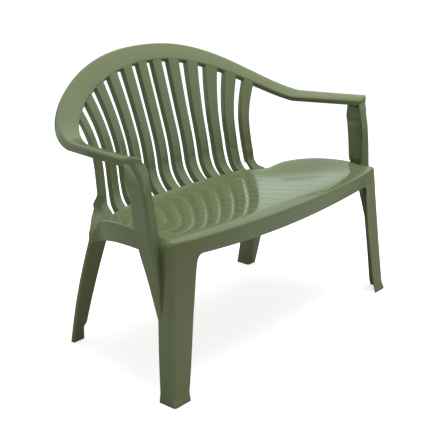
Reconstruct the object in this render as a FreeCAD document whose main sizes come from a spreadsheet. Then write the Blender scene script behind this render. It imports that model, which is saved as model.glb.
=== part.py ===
# Two-seat garden bench, moulded in one shot of polypropylene.
# The shell is divided along its natural lines into the members that a mould maker would name:
# seat panel, aprons, ribs, slats, back rail, arms, arm posts and legs.
# Lengths are millimetres. X runs along the bench, Y from front to back, Z up.
# Every member is drawn with Y counted from the face of the front feet, and its Placement
# then brings it to the origin, which lies on the ground under the middle of the bench.
import FreeCAD, Part
import math
import os
import Sketcher
from FreeCAD import Placement, Rotation, Vector

os.makedirs("parts", exist_ok=True)
doc = FreeCAD.newDocument("garden_bench")

# Driving dimensions: alias, value, meaning
SIZES = [
    ("origin_from_front", 326.3, "depth from the front feet to the origin"),
    ("wall", 4.0, "wall of legs, arms, rail and aprons"),
    ("panel_wall", 4.5, "wall of the seat panel"),
    ("slat_wall", 3.5, "wall of a slat"),
    ("rib_wall", 3.0, "wall of a rib under the seat"),
    ("seat_half_front", 512.0, "half length of the seat at its front corners"),
    ("seat_front_bow", 46.0, "how far the front edge stands forward at mid length"),
    ("seat_front_centre", -5.8, "depth of the front edge at mid length"),
    ("seat_front_height", 445.0, "height of the front edge"),
    ("seat_side_height", 447.0, "height of the front corners of the seat"),
    ("side_depth", 430.0, "depth where the side edges end at the rear legs"),
    ("side_draw", 90.0, "how far the side edges draw in towards the rear legs"),
    ("side_rise", 28.0, "steady rise of the side edges towards the back"),
    ("side_drop", 71.5, "fall of the side edges into the rear legs"),
    ("seat_low_height", 397.5, "height of the lowest line of the dished seat"),
    ("seat_low_depth", 407.5, "depth of the lowest line of the dished seat"),
    ("seat_crest_depth", 34.0, "depth of the crest behind the front edge"),
    ("seat_side_band", 185.0, "length over which the seat rises to its side edges"),
    ("slot_end_depth", 461.5, "depth of the slot ends at mid length"),
    ("slot_end_bow", 0.000206, "forward bow of the slot ends, per square millimetre"),
    ("cove_radius", 102.4, "radius between seat and back"),
    ("lumbar_radius", 700.0, "radius of the lumbar bend"),
    ("waist_lean", 8.0, "lean of the back at the waist, degrees"),
    ("back_lean", 17.6, "lean of the upper back, degrees"),
    ("back_bow_low", 0.00037, "plan bow of the back at the waist, per square millimetre"),
    ("back_bow_rise", 30.0, "height over which the bow grows from the slot ends to the waist"),
    ("back_bow_high", 0.00047, "plan bow of the back near the rail, per square millimetre"),
    ("waist_height", 560.0, "height where the slats stand closest together"),
    ("slat_pitch", 63.5, "slat spacing at the waist"),
    ("slat_width", 36.0, "slat width at the waist"),
    ("outer_slat_width", 32.0, "width of the two end slats"),
    ("slat_flange", 16.0, "depth of the side flanges of a slat"),
    ("slat_edge_radius", 2.0, "edge radius of the end slats"),
    ("slat_flare", 0.0098, "outward flare of the slats above the waist"),
    ("slat_spread", 0.00045, "outward spread of the slats below the waist"),
    ("slat_overrun", 2.5, "how far the slats reach into the wall of the rail"),
    ("rail_outer_half", 543.0, "half length of the outer crease of the rail"),
    ("rail_outer_rise", 195.5, "rise of the outer crease from arm to crown"),
    ("rail_outer_reach", 304.5, "depth of the outer crease from arm to crown"),
    ("rail_outer_start", 335.0, "depth where the outer crease starts"),
    ("rail_outer_base", 667.5, "height where the outer crease starts"),
    ("rail_inner_half", 482.0, "half length of the inner edge of the rail"),
    ("rail_inner_rise", 161.0, "rise of the inner edge from arm to crown"),
    ("rail_inner_reach", 251.5, "depth of the inner edge from arm to crown"),
    ("rail_inner_start", 348.5, "depth where the inner edge starts"),
    ("rail_inner_base", 651.5, "height where the inner edge starts"),
    ("rail_edge_radius", 8.0, "radius of the outer crease of rail and arm"),
    ("rail_inner_radius", 5.0, "radius of the inner edge of rail and arm"),
    ("outer_flange", 24.0, "depth of the outer flange of rail and arm"),
    ("inner_flange", 17.0, "depth of the inner flange of rail and arm"),
    ("arm_tip_half", 582.0, "half length across the outer corners of the arm tips"),
    ("arm_tip_inner_half", 528.5, "half length across the inner corners of the arm tips"),
    ("arm_tip_depth", 135.5, "depth of the outer corner of the arm tip"),
    ("arm_tip_inner_depth", 117.0, "depth of the inner corner of the arm tip"),
    ("arm_height", 671.5, "height of the outer corner of the arm tip"),
    ("arm_inner_height", 660.0, "height of the inner corner of the arm tip"),
    ("leg_radius", 22.0, "radius of the vertical corner of a front leg under the seat"),
    ("foot_radius", 7.0, "radius of the vertical corner of a front foot"),
    ("leg_inner_radius", 6.0, "radius of the vertical corners of a rear leg"),
    ("front_foot_half", 547.0, "half length across the corners of the front feet"),
    ("front_top_half", 517.0, "half length across the corners of the front legs under the seat"),
    ("front_top_depth", 41.0, "depth of the corner of a front leg under the seat"),
    ("front_web_foot", 58.0, "width of the front web of a front leg above the foot"),
    ("front_web_top", 92.0, "width of the front web of a front leg under the apron"),
    ("front_side_web", 54.0, "depth of the side web of a front leg"),
    ("foot_flare", 4.0, "outward and forward flare of a front foot"),
    ("rear_foot_depth", 508.0, "depth of the front web of a rear foot"),
    ("rear_splay", 0.23, "backward splay of a rear leg, millimetres per millimetre"),
    ("rear_foot_inner_half", 414.0, "half length across the inner corners of the rear feet"),
    ("rear_top_inner_half", 369.0, "half length across the inner corners of the rear legs"),
    ("rear_foot_outer_half", 458.0, "half length across the outer corners of the rear feet"),
    ("rear_top_outer_half", 441.0, "half length across the outer corners of the rear legs"),
    ("rear_side_web", 58.0, "depth of the inner web of a rear leg"),
    ("rear_foot_web", 54.0, "depth of the inner web of a rear foot"),
    ("shoulder_flange", 31.0, "depth of the outer flange at the shoulder over a rear leg"),
    ("end_slat_web", 34.0, "depth of the inner flange at the root of an end slat"),
    ("end_slat_top_web", 19.0, "depth of the inner flange at the top of an end slat"),
    ("rear_outer_flange", 13.0, "depth of the outer flange of a rear leg"),
    ("rear_notch", 9.0, "step in the inner edge of a rear foot"),
    ("shoulder_height", 446.0, "height where a rear leg passes into the end slat"),
    ("apron_low_height", 377.0, "height of the lower edge of the front apron at mid length"),
    ("apron_rise", 20.0, "rise of that edge towards the front legs"),
    ("apron_low_depth", 20.0, "depth of the lower edge of the front apron"),
    ("apron_corner_radius", 18.0, "radius between the front apron and a front leg"),
    ("side_apron_height", 398.0, "height of the lower edge of the side aprons"),
    ("rear_apron_height", 352.0, "height of the lower edge of the rear apron"),
    ("rib_depth", 18.0, "depth of the ribs below the lowest line of the seat"),
    ("rib_front_height", 412.0, "height of the lower edge of the ribs at the front apron"),
    ("rib_pitch", 150.0, "spacing of the ribs that run from front to back"),
    ("spine_depth", 215.0, "depth of the rib that runs along the bench"),
]

sheet = doc.addObject("Spreadsheet::Sheet", "sizes")
for row, (alias, value, meaning) in enumerate(SIZES, start=1):
    sheet.set(f"A{row}", meaning)
    sheet.set(f"B{row}", str(value))
    sheet.setAlias(f"B{row}", alias)
doc.recompute()


class Size:
    """A number together with the expression on the sheet that gives it."""

    def __init__(self, value, text):
        self.value = value
        self.text = text

    def join(self, sign, other, value):
        return Size(value, f"({self.text} {sign} {other.text})")

    def __add__(self, other):
        other = sized(other)
        return self.join("+", other, self.value + other.value)

    def __sub__(self, other):
        other = sized(other)
        return self.join("-", other, self.value - other.value)

    def __mul__(self, number):
        return Size(self.value * number, f"({self.text} * {number:.9f})")

    def __float__(self):
        return self.value


def sized(number):
    """Give a plain number the form of a Size."""
    if isinstance(number, Size):
        return number
    return Size(float(number), f"{float(number):.6f}")


def size(alias):
    """Read a driving dimension as a Size."""
    return Size(float(getattr(sheet, alias)), f"sizes.{alias}")


def mm(alias):
    """Read a driving dimension as a plain number."""
    return float(getattr(sheet, alias))


def mix(low, high, share):
    """Blend two numbers or two vectors."""
    return low * (1.0 - share) + high * share


def ease(share):
    """Rise smoothly from 0 to 1 as share does."""
    share = min(max(share, 0.0), 1.0)
    return share * share * (3.0 - 2.0 * share)


# Sections and lofts

def origin_plane(body, role):
    """Find an origin plane of a body by its role."""
    return next(plane for plane in body.Origin.OriginFeatures if plane.Role == role)


def frame_at(origin, along, across):
    """A section frame: its X runs along, its Y runs across at a right angle to X."""
    along = Vector(along).normalize()
    across = Vector(across)
    across = (across - along * across.dot(along)).normalize()
    return Placement(origin, Rotation(along, across, along.cross(across), "XYZ"))


def level_frame(x, y, z, turn, side):
    """A level section frame; side is -1 when its X runs towards the middle of the bench."""
    angle = math.radians(turn)
    along = Vector(side * math.cos(angle), -math.sin(angle), 0.0)
    across = Vector(-math.sin(angle), math.cos(angle), 0.0)
    return frame_at(Vector(x, y, z), along, across)


def direction(start, end):
    """Unit direction from one sketch point to another."""
    run = Vector(float(end[0]) - float(start[0]), float(end[1]) - float(start[1]), 0.0)
    return run.normalize()


def rounded_corner(corner, before, after, radius):
    """The points that replace a rounded corner: its two tangent points and the one between."""
    back, ahead = direction(corner, before), direction(corner, after)
    half_angle = back.getAngle(ahead) / 2.0
    reach = 1.0 / math.tan(half_angle)
    middle = (back + ahead).normalize() * (1.0 / math.sin(half_angle) - 1.0)
    return [(corner[0] + radius * side.x, corner[1] + radius * side.y)
            for side in (back * reach, middle, ahead * reach)]


def pin_point(sketch, geometry, end, point):
    """Tie one end of a sketch line to a place given by two sizes."""
    for kind, place in (("DistanceX", point[0]), ("DistanceY", point[1])):
        index = sketch.addConstraint(
            Sketcher.Constraint(kind, -1, 1, geometry, end, place.value))
        if "sizes." in place.text:
            sketch.setExpression(f"Constraints[{index}]", place.text)


def section_sketch(body, name, frame, corners):
    """Draw a closed outline; each corner is x, y and a radius or None."""
    sketch = body.newObject("Sketcher::SketchObject", name)
    sketch.AttachmentSupport = [(origin_plane(body, "XY_Plane"), "")]
    sketch.MapMode = "FlatFace"
    sketch.AttachmentOffset = frame
    corners = [(sized(x), sized(y), radius) for x, y, radius in corners]
    points = []
    for index, (x, y, radius) in enumerate(corners):
        if radius is None:
            points.append((x, y))
        else:
            after = corners[(index + 1) % len(corners)]
            points += rounded_corner((x, y), corners[index - 1], after, radius)
    for index, start in enumerate(points):
        end = points[(index + 1) % len(points)]
        line = sketch.addGeometry(Part.LineSegment(Vector(float(start[0]), float(start[1]), 0.0),
                                                   Vector(float(end[0]), float(end[1]), 0.0)), False)
        pin_point(sketch, line, 1, start)
        pin_point(sketch, line, 2, end)
    return sketch


def angle_section(width, depth, wall, radius, skew):
    """An L: a web along X and a second one that leans from Y towards X by a skew in degrees."""
    lean = math.radians(skew)
    run, rise = math.sin(lean), math.cos(lean)
    inner = (wall * ((1.0 + run) / rise), wall)
    outer_end = (depth * run, depth * rise)
    inner_end = (outer_end[0] + wall * rise, outer_end[1] - wall * run)
    return [(0, 0, radius), (width, 0, None), (width, wall, None),
            (*inner, radius - wall), (*inner_end, None), (*outer_end, None)]


def channel_section(width, start_flange, end_flange, wall, start_radius, end_radius):
    """A U: a face of the given width along X with a flange at each end."""
    width = sized(width)
    return [(0, 0, start_radius), (width, 0, end_radius), (width, end_flange, None),
            (width - wall, end_flange, None), (width - wall, wall, None),
            (wall, wall, None), (wall, start_flange, None), (0, start_flange, None)]


def strip_section(length, wall):
    """A plain strip."""
    return [(0, 0, None), (length, 0, None), (length, wall, None), (0, wall, None)]


def bring_to_origin(item, depth=0.0):
    """Place an object, drawn at a depth behind the front feet, in the frame of the bench."""
    item.setExpression("Placement.Base.y", f"{depth:.6f} - sizes.origin_from_front")
    return item


def loft_body(name, sections):
    """Loft a body through sections given as frame and outline."""
    body = bring_to_origin(doc.addObject("PartDesign::Body", f"{name}_body"))
    sketches = [section_sketch(body, f"{name}_section_{index}", frame, corners)
                for index, (frame, corners) in enumerate(sections)]
    loft = body.newObject("PartDesign::AdditiveLoft", f"{name}_loft")
    loft.Profile = sketches[0]
    loft.Sections = sketches[1:]
    loft.Ruled = True
    return body


def add_plate(body, name, frame, corners, thickness, reverse):
    """Add a flat plate of the given outline and thickness to a body."""
    pad = body.newObject("PartDesign::Pad", f"{name}_pad")
    pad.Profile = section_sketch(body, f"{name}_outline", frame, corners)
    pad.setExpression("Length", thickness.text)
    pad.Reversed = reverse
    return body


# The back: one surface that the seat, the slats and the rail share

def back_profile(length):
    """Depth, height and lean of the middle of the back, at a length above the lowest seat line."""
    cove = mm("cove_radius")
    waist = math.radians(mm("waist_lean"))
    upper = math.radians(mm("back_lean"))
    cove_turn = math.pi / 2.0 - waist
    cove_length = cove * cove_turn
    if length <= cove_length:
        turn = length / cove
        return (mm("seat_low_depth") + cove * math.sin(turn),
                mm("seat_low_height") + cove * (1.0 - math.cos(turn)),
                math.pi / 2.0 - turn)
    y = mm("seat_low_depth") + cove * math.sin(cove_turn)
    z = mm("seat_low_height") + cove * (1.0 - math.cos(cove_turn))
    lumbar = mm("lumbar_radius")
    lean = min(waist + (length - cove_length) / lumbar, upper)
    y += lumbar * (math.cos(waist) - math.cos(lean))
    z += lumbar * (math.sin(lean) - math.sin(waist))
    rest = max(length - cove_length - lumbar * (upper - waist), 0.0)
    return y + rest * math.sin(lean), z + rest * math.cos(lean), lean


def plan_bow(z):
    """Forward bow of the back per square millimetre of half length, at a height."""
    slot_end_height = back_profile(slot_end_length())[1]
    waist_share = ease((z - slot_end_height) / mm("back_bow_rise"))
    high_share = ease((z - 485.0) / 200.0)
    low = mix(mm("slot_end_bow"), mm("back_bow_low"), waist_share)
    return mix(low, mm("back_bow_high"), high_share)


def slot_end_length():
    """Length up the back profile to the slot ends."""
    reach = (mm("slot_end_depth") - mm("seat_low_depth")) / mm("cove_radius")
    return mm("cove_radius") * math.asin(reach)


def slat_line(x_waist, z):
    """Half length, at a height, of a slat edge that stands at x_waist at the waist."""
    share = x_waist / 360.0
    rise = z - mm("waist_height")
    if rise > 0.0:
        return x_waist + mm("slat_flare") * (rise * share) ** 1.7
    return x_waist + mm("slat_spread") * rise ** 2 * share


def back_point(x_waist, length):
    """A point of the back on the slat edge that stands at x_waist at the waist."""
    y, z, _ = back_profile(length)
    x = slat_line(x_waist, z)
    return Vector(x, y - plan_bow(z) * x * x, z)


# The rail: two creases, each a superellipse in plan that rises to the crown

def crease_point(kind, share, power, rise_power):
    """A point of a rail crease; share runs from 0 at the arm to 1 at the crown."""
    half = mm(f"rail_{kind}_half") * (1.0 - share ** power) ** (1.0 / power)
    return Vector(half, mm(f"rail_{kind}_start") + mm(f"rail_{kind}_reach") * share,
                  mm(f"rail_{kind}_base") + mm(f"rail_{kind}_rise") * share ** rise_power)


OUTER_POWER = 2.27
OUTER_RISE_POWER = 2.26
INNER_POWER = 2.03
INNER_RISE_POWER = 1.9
OUTER_ROOT = 0.15
INNER_ROOT = 0.09


def outer_crease(angle):
    """Outer crease at an angle from 0 at the arm root to 90 at the crown."""
    root = math.asin(OUTER_ROOT ** (OUTER_POWER / 2.0))
    turn = mix(root, math.pi / 2.0, angle / 90.0)
    return crease_point("outer", math.sin(turn) ** (2.0 / OUTER_POWER), OUTER_POWER,
                        OUTER_RISE_POWER)


def inner_crease(angle):
    """Inner edge opposite the outer crease at the same angle."""
    root = math.asin(INNER_ROOT ** (INNER_POWER / 2.0))
    lag = math.radians(5.0) * math.sin(math.radians(2.0 * angle))
    turn = mix(root, math.pi / 2.0, angle / 90.0) - lag
    return crease_point("inner", math.sin(turn) ** (2.0 / INNER_POWER), INNER_POWER,
                        INNER_RISE_POWER)


def inner_crease_at(x):
    """Point of the inner edge at a half length."""
    share = (1.0 - (x / mm("rail_inner_half")) ** INNER_POWER) ** (1.0 / INNER_POWER)
    return crease_point("inner", share, INNER_POWER, INNER_RISE_POWER)


def rail_frame(outer, inner, travel):
    """Frame of a rail section: X from the outer crease to the inner edge, Y into the channel."""
    return frame_at(outer, inner - outer, (inner - outer).cross(travel))


def rail_section(outer, inner, solid=False):
    """Channel outline between two creases, or the same outline filled."""
    width = outer.distanceToPoint(inner)
    if solid:
        return [(0, 0, size("rail_edge_radius")), (width, 0, size("rail_inner_radius")),
                (width, 40.0, None), (0, 40.0, None)]
    return channel_section(width, size("outer_flange"), size("inner_flange"), size("wall"),
                           size("rail_edge_radius"), size("rail_inner_radius"))


def mirrored(point):
    """The same point on the other half of the bench."""
    return Vector(-point.x, point.y, point.z)


RAIL_ANGLES = [0.0, 7.0, 14.0, 21.0, 28.0, 35.0, 42.0, 50.0, 58.0, 66.0, 74.0, 82.0]


def rail_travel(angle):
    """Direction of travel of the rail towards the crown."""
    step = 1.0
    ahead = outer_crease(angle + step) + inner_crease(angle + step)
    return ahead - outer_crease(angle) - inner_crease(angle)


def make_back_rail(name, solid):
    """The arched rail from arm root to arm root; solid fills it, as a tool for trimming."""
    sections = []
    for angle in RAIL_ANGLES:
        outer, inner = outer_crease(angle), inner_crease(angle)
        sections.append((rail_frame(outer, inner, rail_travel(angle)),
                         rail_section(outer, inner, solid)))
    outer, inner = outer_crease(90.0), inner_crease(90.0)
    sections.append((rail_frame(outer, inner, Vector(-1, 0, 0)),
                     rail_section(outer, inner, solid)))
    for angle in reversed(RAIL_ANGLES):
        outer, inner = mirrored(outer_crease(angle)), mirrored(inner_crease(angle))
        travel = rail_travel(angle)
        travel = Vector(travel.x, -travel.y, -travel.z)
        sections.append((rail_frame(outer, inner, travel), rail_section(outer, inner, solid)))
    return loft_body(name, sections)


def arm_points(share):
    """Outer and inner crease of the arm; share runs from 0 at the root to 1 at the tip."""
    outer_tip = Vector(mm("arm_tip_half"), mm("arm_tip_depth"), mm("arm_height"))
    inner_tip = Vector(mm("arm_tip_inner_half"), mm("arm_tip_inner_depth"),
                       mm("arm_inner_height"))
    return (mix(outer_crease(0.0), outer_tip, share), mix(inner_crease(0.0), inner_tip, share))


def make_arm():
    """The right arm, from the rail to its tip."""
    sections = []
    for share in (0.0, 0.3, 0.65, 1.0):
        outer, inner = arm_points(share)
        sections.append((rail_frame(outer, inner, rail_travel(0.0)),
                         rail_section(outer, inner)))
    width = sized(outer.distanceToPoint(inner))
    end = [(0, 0, size("rail_edge_radius")), (width, 0, None), (width, size("inner_flange"), None),
           (0, size("outer_flange"), None)]
    return add_plate(loft_body("arm", sections), "arm_end", sections[-1][0], end,
                     size("wall"), True)


# Slats

SLAT_COUNT = 12
SLAT_STATIONS = [0.0, 0.05, 0.1, 0.16, 0.23, 0.32, 0.44, 0.58, 0.72, 0.86, 1.0]
SLAT_ROOT = 6.0


def slat_section(left, right, travel, flanges, radius):
    """Frame and channel outline of a slat between its two edges."""
    across = right - left
    frame = frame_at(left, across, travel.cross(across))
    return frame, channel_section(across.Length, *flanges, size("slat_wall"), radius, radius)


def slat_edges(number):
    """Half lengths of both edges at the waist; number counts from the middle outwards."""
    middle = mm("slat_pitch") * (number - 0.5)
    outermost = number == SLAT_COUNT // 2
    width = mm("outer_slat_width") if outermost else mm("slat_width")
    return middle - width / 2.0, middle + width / 2.0


def height_length(z):
    """Length up the back profile at a height in the cove."""
    return mm("cove_radius") * math.acos(1.0 - (z - mm("seat_low_height")) / mm("cove_radius"))


def edge_top_length(x_waist):
    """Length up the back profile where a slat edge meets the inner edge of the rail."""
    length = slot_end_length()
    while back_point(x_waist, length).z < inner_crease_at(back_point(x_waist, length).x).z:
        length += 0.5
    return length + mm("slat_overrun")


def end_slat_flanges(share):
    """Inner and outer flange of an end slat, which run on from the rear leg below."""
    inner = mix(mm("end_slat_web"), mm("end_slat_top_web"), share)
    outer = mix(mm("shoulder_flange"), mm("slat_flange"), ease(share / 0.16))
    return sized(inner), sized(outer)


def slat_station(number, share):
    """Section of a slat; share runs from 0 at its root to 1 in the wall of the rail."""
    outermost = number == SLAT_COUNT // 2
    bottom = height_length(mm("shoulder_height")) if outermost else slot_end_length() - SLAT_ROOT
    edges = []
    for x_waist in slat_edges(number):
        length = mix(bottom, edge_top_length(x_waist), share)
        edges.append((back_point(x_waist, length), back_point(x_waist, length + 1.0)))
    (left, left_next), (right, right_next) = edges
    flanges, radius = [size("slat_flange")] * 2, None
    if outermost:
        flanges = end_slat_flanges(share)
        radius = size("slat_edge_radius")
    return slat_section(left, right, left_next + right_next - left - right, flanges, radius)


def make_slat(number):
    """A slat of the right half, from its root into the wall of the rail."""
    sections = [slat_station(number, share) for share in SLAT_STATIONS]
    return loft_body(f"slat_{number}", sections)


# The seat panel: a dished surface over its plan outline

def front_edge(x):
    """Depth of the front edge at a half length."""
    return mm("seat_front_centre") + mm("seat_front_bow") * (x / mm("seat_half_front")) ** 2


def rear_edge(x):
    """Depth of the slot ends at a half length."""
    return mm("slot_end_depth") - mm("slot_end_bow") * x * x


def side_share(y):
    """Place along a side edge: 0 at the front corner, 1 at the rear leg."""
    corner = front_edge(mm("seat_half_front"))
    return max(y - corner, 0.0) / (mm("side_depth") - corner)


def side_half(y):
    """Half length of the seat at a depth."""
    return mm("seat_half_front") - mm("side_draw") * side_share(y) ** 1.9


def side_height(y):
    """Height of a side edge of the seat at a depth."""
    share = side_share(y)
    return mm("seat_side_height") + mm("side_rise") * share - mm("side_drop") * share ** 2.8


def dish_height(y):
    """Height of the middle of the seat at a depth."""
    low_y, low_z = mm("seat_low_depth"), mm("seat_low_height")
    if y > low_y:
        cove = mm("cove_radius")
        return low_z + cove - math.sqrt(cove ** 2 - (y - low_y) ** 2)
    crest = mm("seat_crest_depth")
    drop = mm("seat_front_height") + 3.0 - low_z
    if y > crest:
        share = (low_y - y) / (low_y - crest)
        return low_z + drop * (0.38 * share ** 2 + 0.62 * ease(share))
    return low_z + drop - 3.0 * ((crest - y) / (crest - mm("seat_front_centre"))) ** 2


def seat_height(x, y):
    """Height of the top of the seat panel."""
    half = abs(x)
    front, rear = front_edge(half), rear_edge(half)
    share = (y - front) / (rear - front)
    middle = dish_height(mix(mm("seat_front_centre"), mm("slot_end_depth"), share))
    band = (half - side_half(y)) / mm("seat_side_band") + 1.0
    return mix(middle, side_height(y), ease(band) ** 1.5)


def panel_face(name, drop):
    """The seat surface over a rectangle, lowered by a wall measured at right angles to it."""
    half = mm("seat_half_front") + 12.0
    x_count, y_count = 23, 25
    grid = []
    for column in range(x_count):
        x = mix(-half, half, column / (x_count - 1))
        points = []
        for row in range(y_count):
            y = mix(front_edge(x), rear_edge(x), mix(-0.04, 1.04, row / (y_count - 1)))
            slope_x = seat_height(x + 0.5, y) - seat_height(x - 0.5, y)
            slope_y = seat_height(x, y + 0.5) - seat_height(x, y - 0.5)
            steep = math.sqrt(1.0 + slope_x ** 2 + slope_y ** 2)
            points.append(Vector(x, y, seat_height(x, y) - drop * steep))
        grid.append(points)
    surface = Part.BSplineSurface()
    surface.interpolate(grid)
    feature = doc.addObject("Part::Feature", name)
    feature.Shape = surface.toShape()
    return bring_to_origin(feature)


def raised(name, face, height):
    """Everything above a face."""
    block = doc.addObject("Part::Extrusion", name)
    block.Base = face
    block.DirMode = "Custom"
    block.Dir = Vector(0, 0, 1)
    block.LengthFwd = height
    block.Solid = True
    return block


def side_points(count):
    """Plan points of the right side edge, from the front corner into the rear leg."""
    corner = front_edge(mm("seat_half_front"))
    depths = [mix(corner, mm("side_depth"), index / (count - 1)) for index in range(count)]
    return [Vector(side_half(y), y, 0.0) for y in depths]


def make_outline():
    """The plan outline of the seat as a tall block."""
    side = side_points(6)
    rear_end = Vector(side[-1].x, side[-1].y + 8.0, 0.0)
    front = Part.Arc(mirrored(side[0]), Vector(0, front_edge(0.0), 0), side[0]).toShape()
    rear = Part.Arc(rear_end, Vector(0, rear_edge(0.0), 0), mirrored(rear_end)).toShape()
    edges = [front]
    for points in (side, [mirrored(point) for point in side]):
        curve = Part.BSplineCurve()
        curve.interpolate(points)
        edges += [curve.toShape(), Part.makeLine(points[-1], Vector(points[-1].x, rear_end.y, 0))]
    wire = Part.Wire(Part.sortEdges([*edges, rear])[0])
    feature = doc.addObject("Part::Feature", "seat_outline")
    feature.Shape = Part.Face(wire)
    return raised("seat_outline_block", bring_to_origin(feature), 2.0 * mm("seat_side_height"))


def make_seat(shoulders):
    """The seat panel, its plan outline, and the space above its underside."""
    above_top = raised("above_seat_top", panel_face("seat_top", 0.0), mm("arm_height"))
    above_underside = raised("above_seat_underside",
                             panel_face("seat_underside", mm("panel_wall")), mm("arm_height"))
    outline = make_outline()
    slab = doc.addObject("Part::Common", "seat_slab")
    slab.Base = outline
    slab.Tool = above_underside
    return trim(slab, [above_top, *shoulders], "seat_panel"), outline, above_underside


# Aprons

APRON_STATIONS = [0.0, 0.2, 0.4, 0.6, 0.8, 1.0]


def apron_depth(x):
    """Depth of the inner face of the front apron under the seat at a half length."""
    return max(front_edge(x), mm("apron_low_depth"))


def apron_height(x):
    """Height of the lower edge of the front apron at a half length."""
    return mm("apron_low_height") + mm("apron_rise") * (x / 386.0) ** 2


def make_front_apron():
    """The bowed front apron between the front legs."""
    reach = mm("front_top_half") - mm("front_web_top") + 6.0
    shares = [-share for share in reversed(APRON_STATIONS[1:])] + APRON_STATIONS
    sections = []
    for share in shares:
        x = reach * share
        top = Vector(x, front_edge(x), seat_height(x, front_edge(x)) - 0.5)
        bottom = Vector(x, mm("apron_low_depth"), apron_height(x))
        frame = frame_at(top, bottom - top, Vector(0, 1, 0))
        sections.append((frame, strip_section(top.distanceToPoint(bottom), size("wall"))))
    return loft_body("front_apron", sections)


def make_side_apron():
    """The right side apron, which turns round the rear corner into the rear leg."""
    places = side_points(9)[1:]
    low_start, low_end = mm("side_apron_height") + 4.0, mm("rear_apron_height") - 14.0
    sections = []
    for index, place in enumerate(places):
        before, after = places[max(index - 1, 0)], places[min(index + 1, len(places) - 1)]
        inward = Vector(before.y - after.y, after.x - before.x, 0.0)
        low = mix(low_start, low_end, (index / (len(places) - 1)) ** 3)
        top = Vector(place.x, place.y, side_height(place.y) - 0.5)
        frame = frame_at(top, Vector(0, 0, -1), inward)
        sections.append((frame, strip_section(top.z - low, size("wall"))))
    return loft_body("side_apron", sections)


def make_rear_apron():
    """The apron between the rear legs, bowed like the slot ends above it."""
    low = mm("rear_apron_height")
    reach = rear_inner(low) + 0.5 * mm("wall")
    sections = []
    for share in (-1.0, -0.7, -0.35, 0.0, 0.35, 0.7, 1.0):
        top = Vector(reach * share, rear_edge(reach * share) - 4.0, mm("seat_low_height") + 20.0)
        frame = frame_at(top, Vector(0, 0, -1), Vector(0, 1, 0))
        sections.append((frame, strip_section(top.z - low, size("wall"))))
    return loft_body("rear_apron", sections)


# Legs and arm posts

FLARE_HEIGHT = 25.0


def front_leg_depth(z):
    """Depth of the front face of a front leg at a height."""
    return mm("front_top_depth") * z / mm("seat_side_height")


def front_leg_half(z):
    """Half length of the outer corner of a front leg at a height."""
    return mix(mm("front_foot_half"), mm("front_top_half"), z / mm("seat_side_height"))


def front_leg_radius(z):
    """Radius of the vertical corner of a front leg at a height."""
    share = (z / mm("seat_side_height")) ** 0.5
    return size("foot_radius") * (1.0 - share) + size("leg_radius") * share


def front_web_width(z):
    """Width of the front web of a front leg at a height."""
    share = (z - FLARE_HEIGHT) / (mm("apron_low_height") - FLARE_HEIGHT)
    return mix(mm("front_web_foot"), mm("front_web_top"), share ** 0.85 if share > 0 else 0.0)


def apron_fillet(z):
    """Extra width of the front web where it is rounded into the front apron."""
    radius = mm("apron_corner_radius")
    below = apron_height(mm("front_top_half") - mm("front_web_top")) - z
    if below >= radius:
        return 0.0
    return radius - math.sqrt(radius ** 2 - (radius - max(below, 0.0)) ** 2)


def make_front_leg(name, solid):
    """The right front leg, an angle with a flared foot; solid fills it, as a tool."""
    edge = apron_height(mm("front_top_half") - mm("front_web_top"))
    radius = mm("apron_corner_radius")
    # height, turn of the front web, outward lean of the side web, both in degrees
    stations = [(0.0, 0.0, 0.0), (FLARE_HEIGHT, 0.0, 0.0), (85.0, 1.0, 0.0), (150.0, 2.0, -1.0),
                (231.0, 3.0, -4.0), (edge - 2.5 * radius, 7.0, -11.0), (edge - radius, 9.0, -11.0),
                (edge - 0.5 * radius, 10.0, -10.0), (edge - 0.2 * radius, 10.0, -9.0),
                (edge, 10.0, -9.0), (mm("seat_side_height"), 10.0, -8.0)]
    sections = []
    for z, turn, lean in stations:
        flare = mm("foot_flare") * (1.0 - min(z / FLARE_HEIGHT, 1.0))
        frame = level_frame(front_leg_half(z) + flare, front_leg_depth(z) - flare, z, turn, -1)
        width = sized(front_web_width(z) + apron_fillet(z) + flare)
        outline = angle_section(width, size("front_side_web") + flare, size("wall"),
                                front_leg_radius(z), -(turn + lean))
        if solid:
            outline = [(0, -15.0, None), (width, -15.0, None), (width, 30.0, None),
                       (0, 30.0, None)]
        sections.append((frame, outline))
    return loft_body(name, sections)


def rear_leg_depth(z):
    """Depth of the front web of a rear leg at a height."""
    return mm("rear_foot_depth") - mm("rear_splay") * z


def rear_inner(z):
    """Half length of the inner corner of a rear leg at a height."""
    share = z / mm("rear_apron_height")
    return mix(mm("rear_foot_inner_half"), mm("rear_top_inner_half"), share ** 1.5)


def rear_outer(z):
    """Half length of the outer corner of a rear leg at a height."""
    share = z / mm("rear_apron_height")
    bulge = 9.0 * math.sin(math.pi * share)
    return mix(mm("rear_foot_outer_half"), mm("rear_top_outer_half"), share) + bulge


def rear_leg_stations():
    """Inner and outer corner, inner web and outer flange of a rear leg, from the foot up."""
    rows = []
    for z, step in ((0.0, 0.0), (46.0, 1.0), (58.0, 0.0), (120.0, 0.0), (180.0, 0.0),
                    (240.0, 0.0), (300.0, 0.0), (mm("rear_apron_height"), 0.0)):
        inner = rear_inner(z) + step * mm("rear_notch")
        share = z / mm("rear_apron_height")
        rows.append((Vector(inner, rear_leg_depth(z), z),
                     Vector(rear_outer(z), rear_leg_depth(z), z),
                     mix(mm("rear_foot_web"), mm("rear_side_web"), share ** 0.5),
                     mix(mm("rear_outer_flange"), mm("shoulder_flange") - 8.0, share ** 4)))
    return rows


def shoulder_point(start, end, share, bend):
    """A point of a shoulder line between the leg and the end slat."""
    rise = end.z - start.z
    sag = rise * share * (1.0 - share) * (mm("rear_splay") + 0.6 * share)
    place = mix(start, end, share)
    return Vector(mix(start.x, end.x, share ** bend), place.y - sag, place.z)


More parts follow.
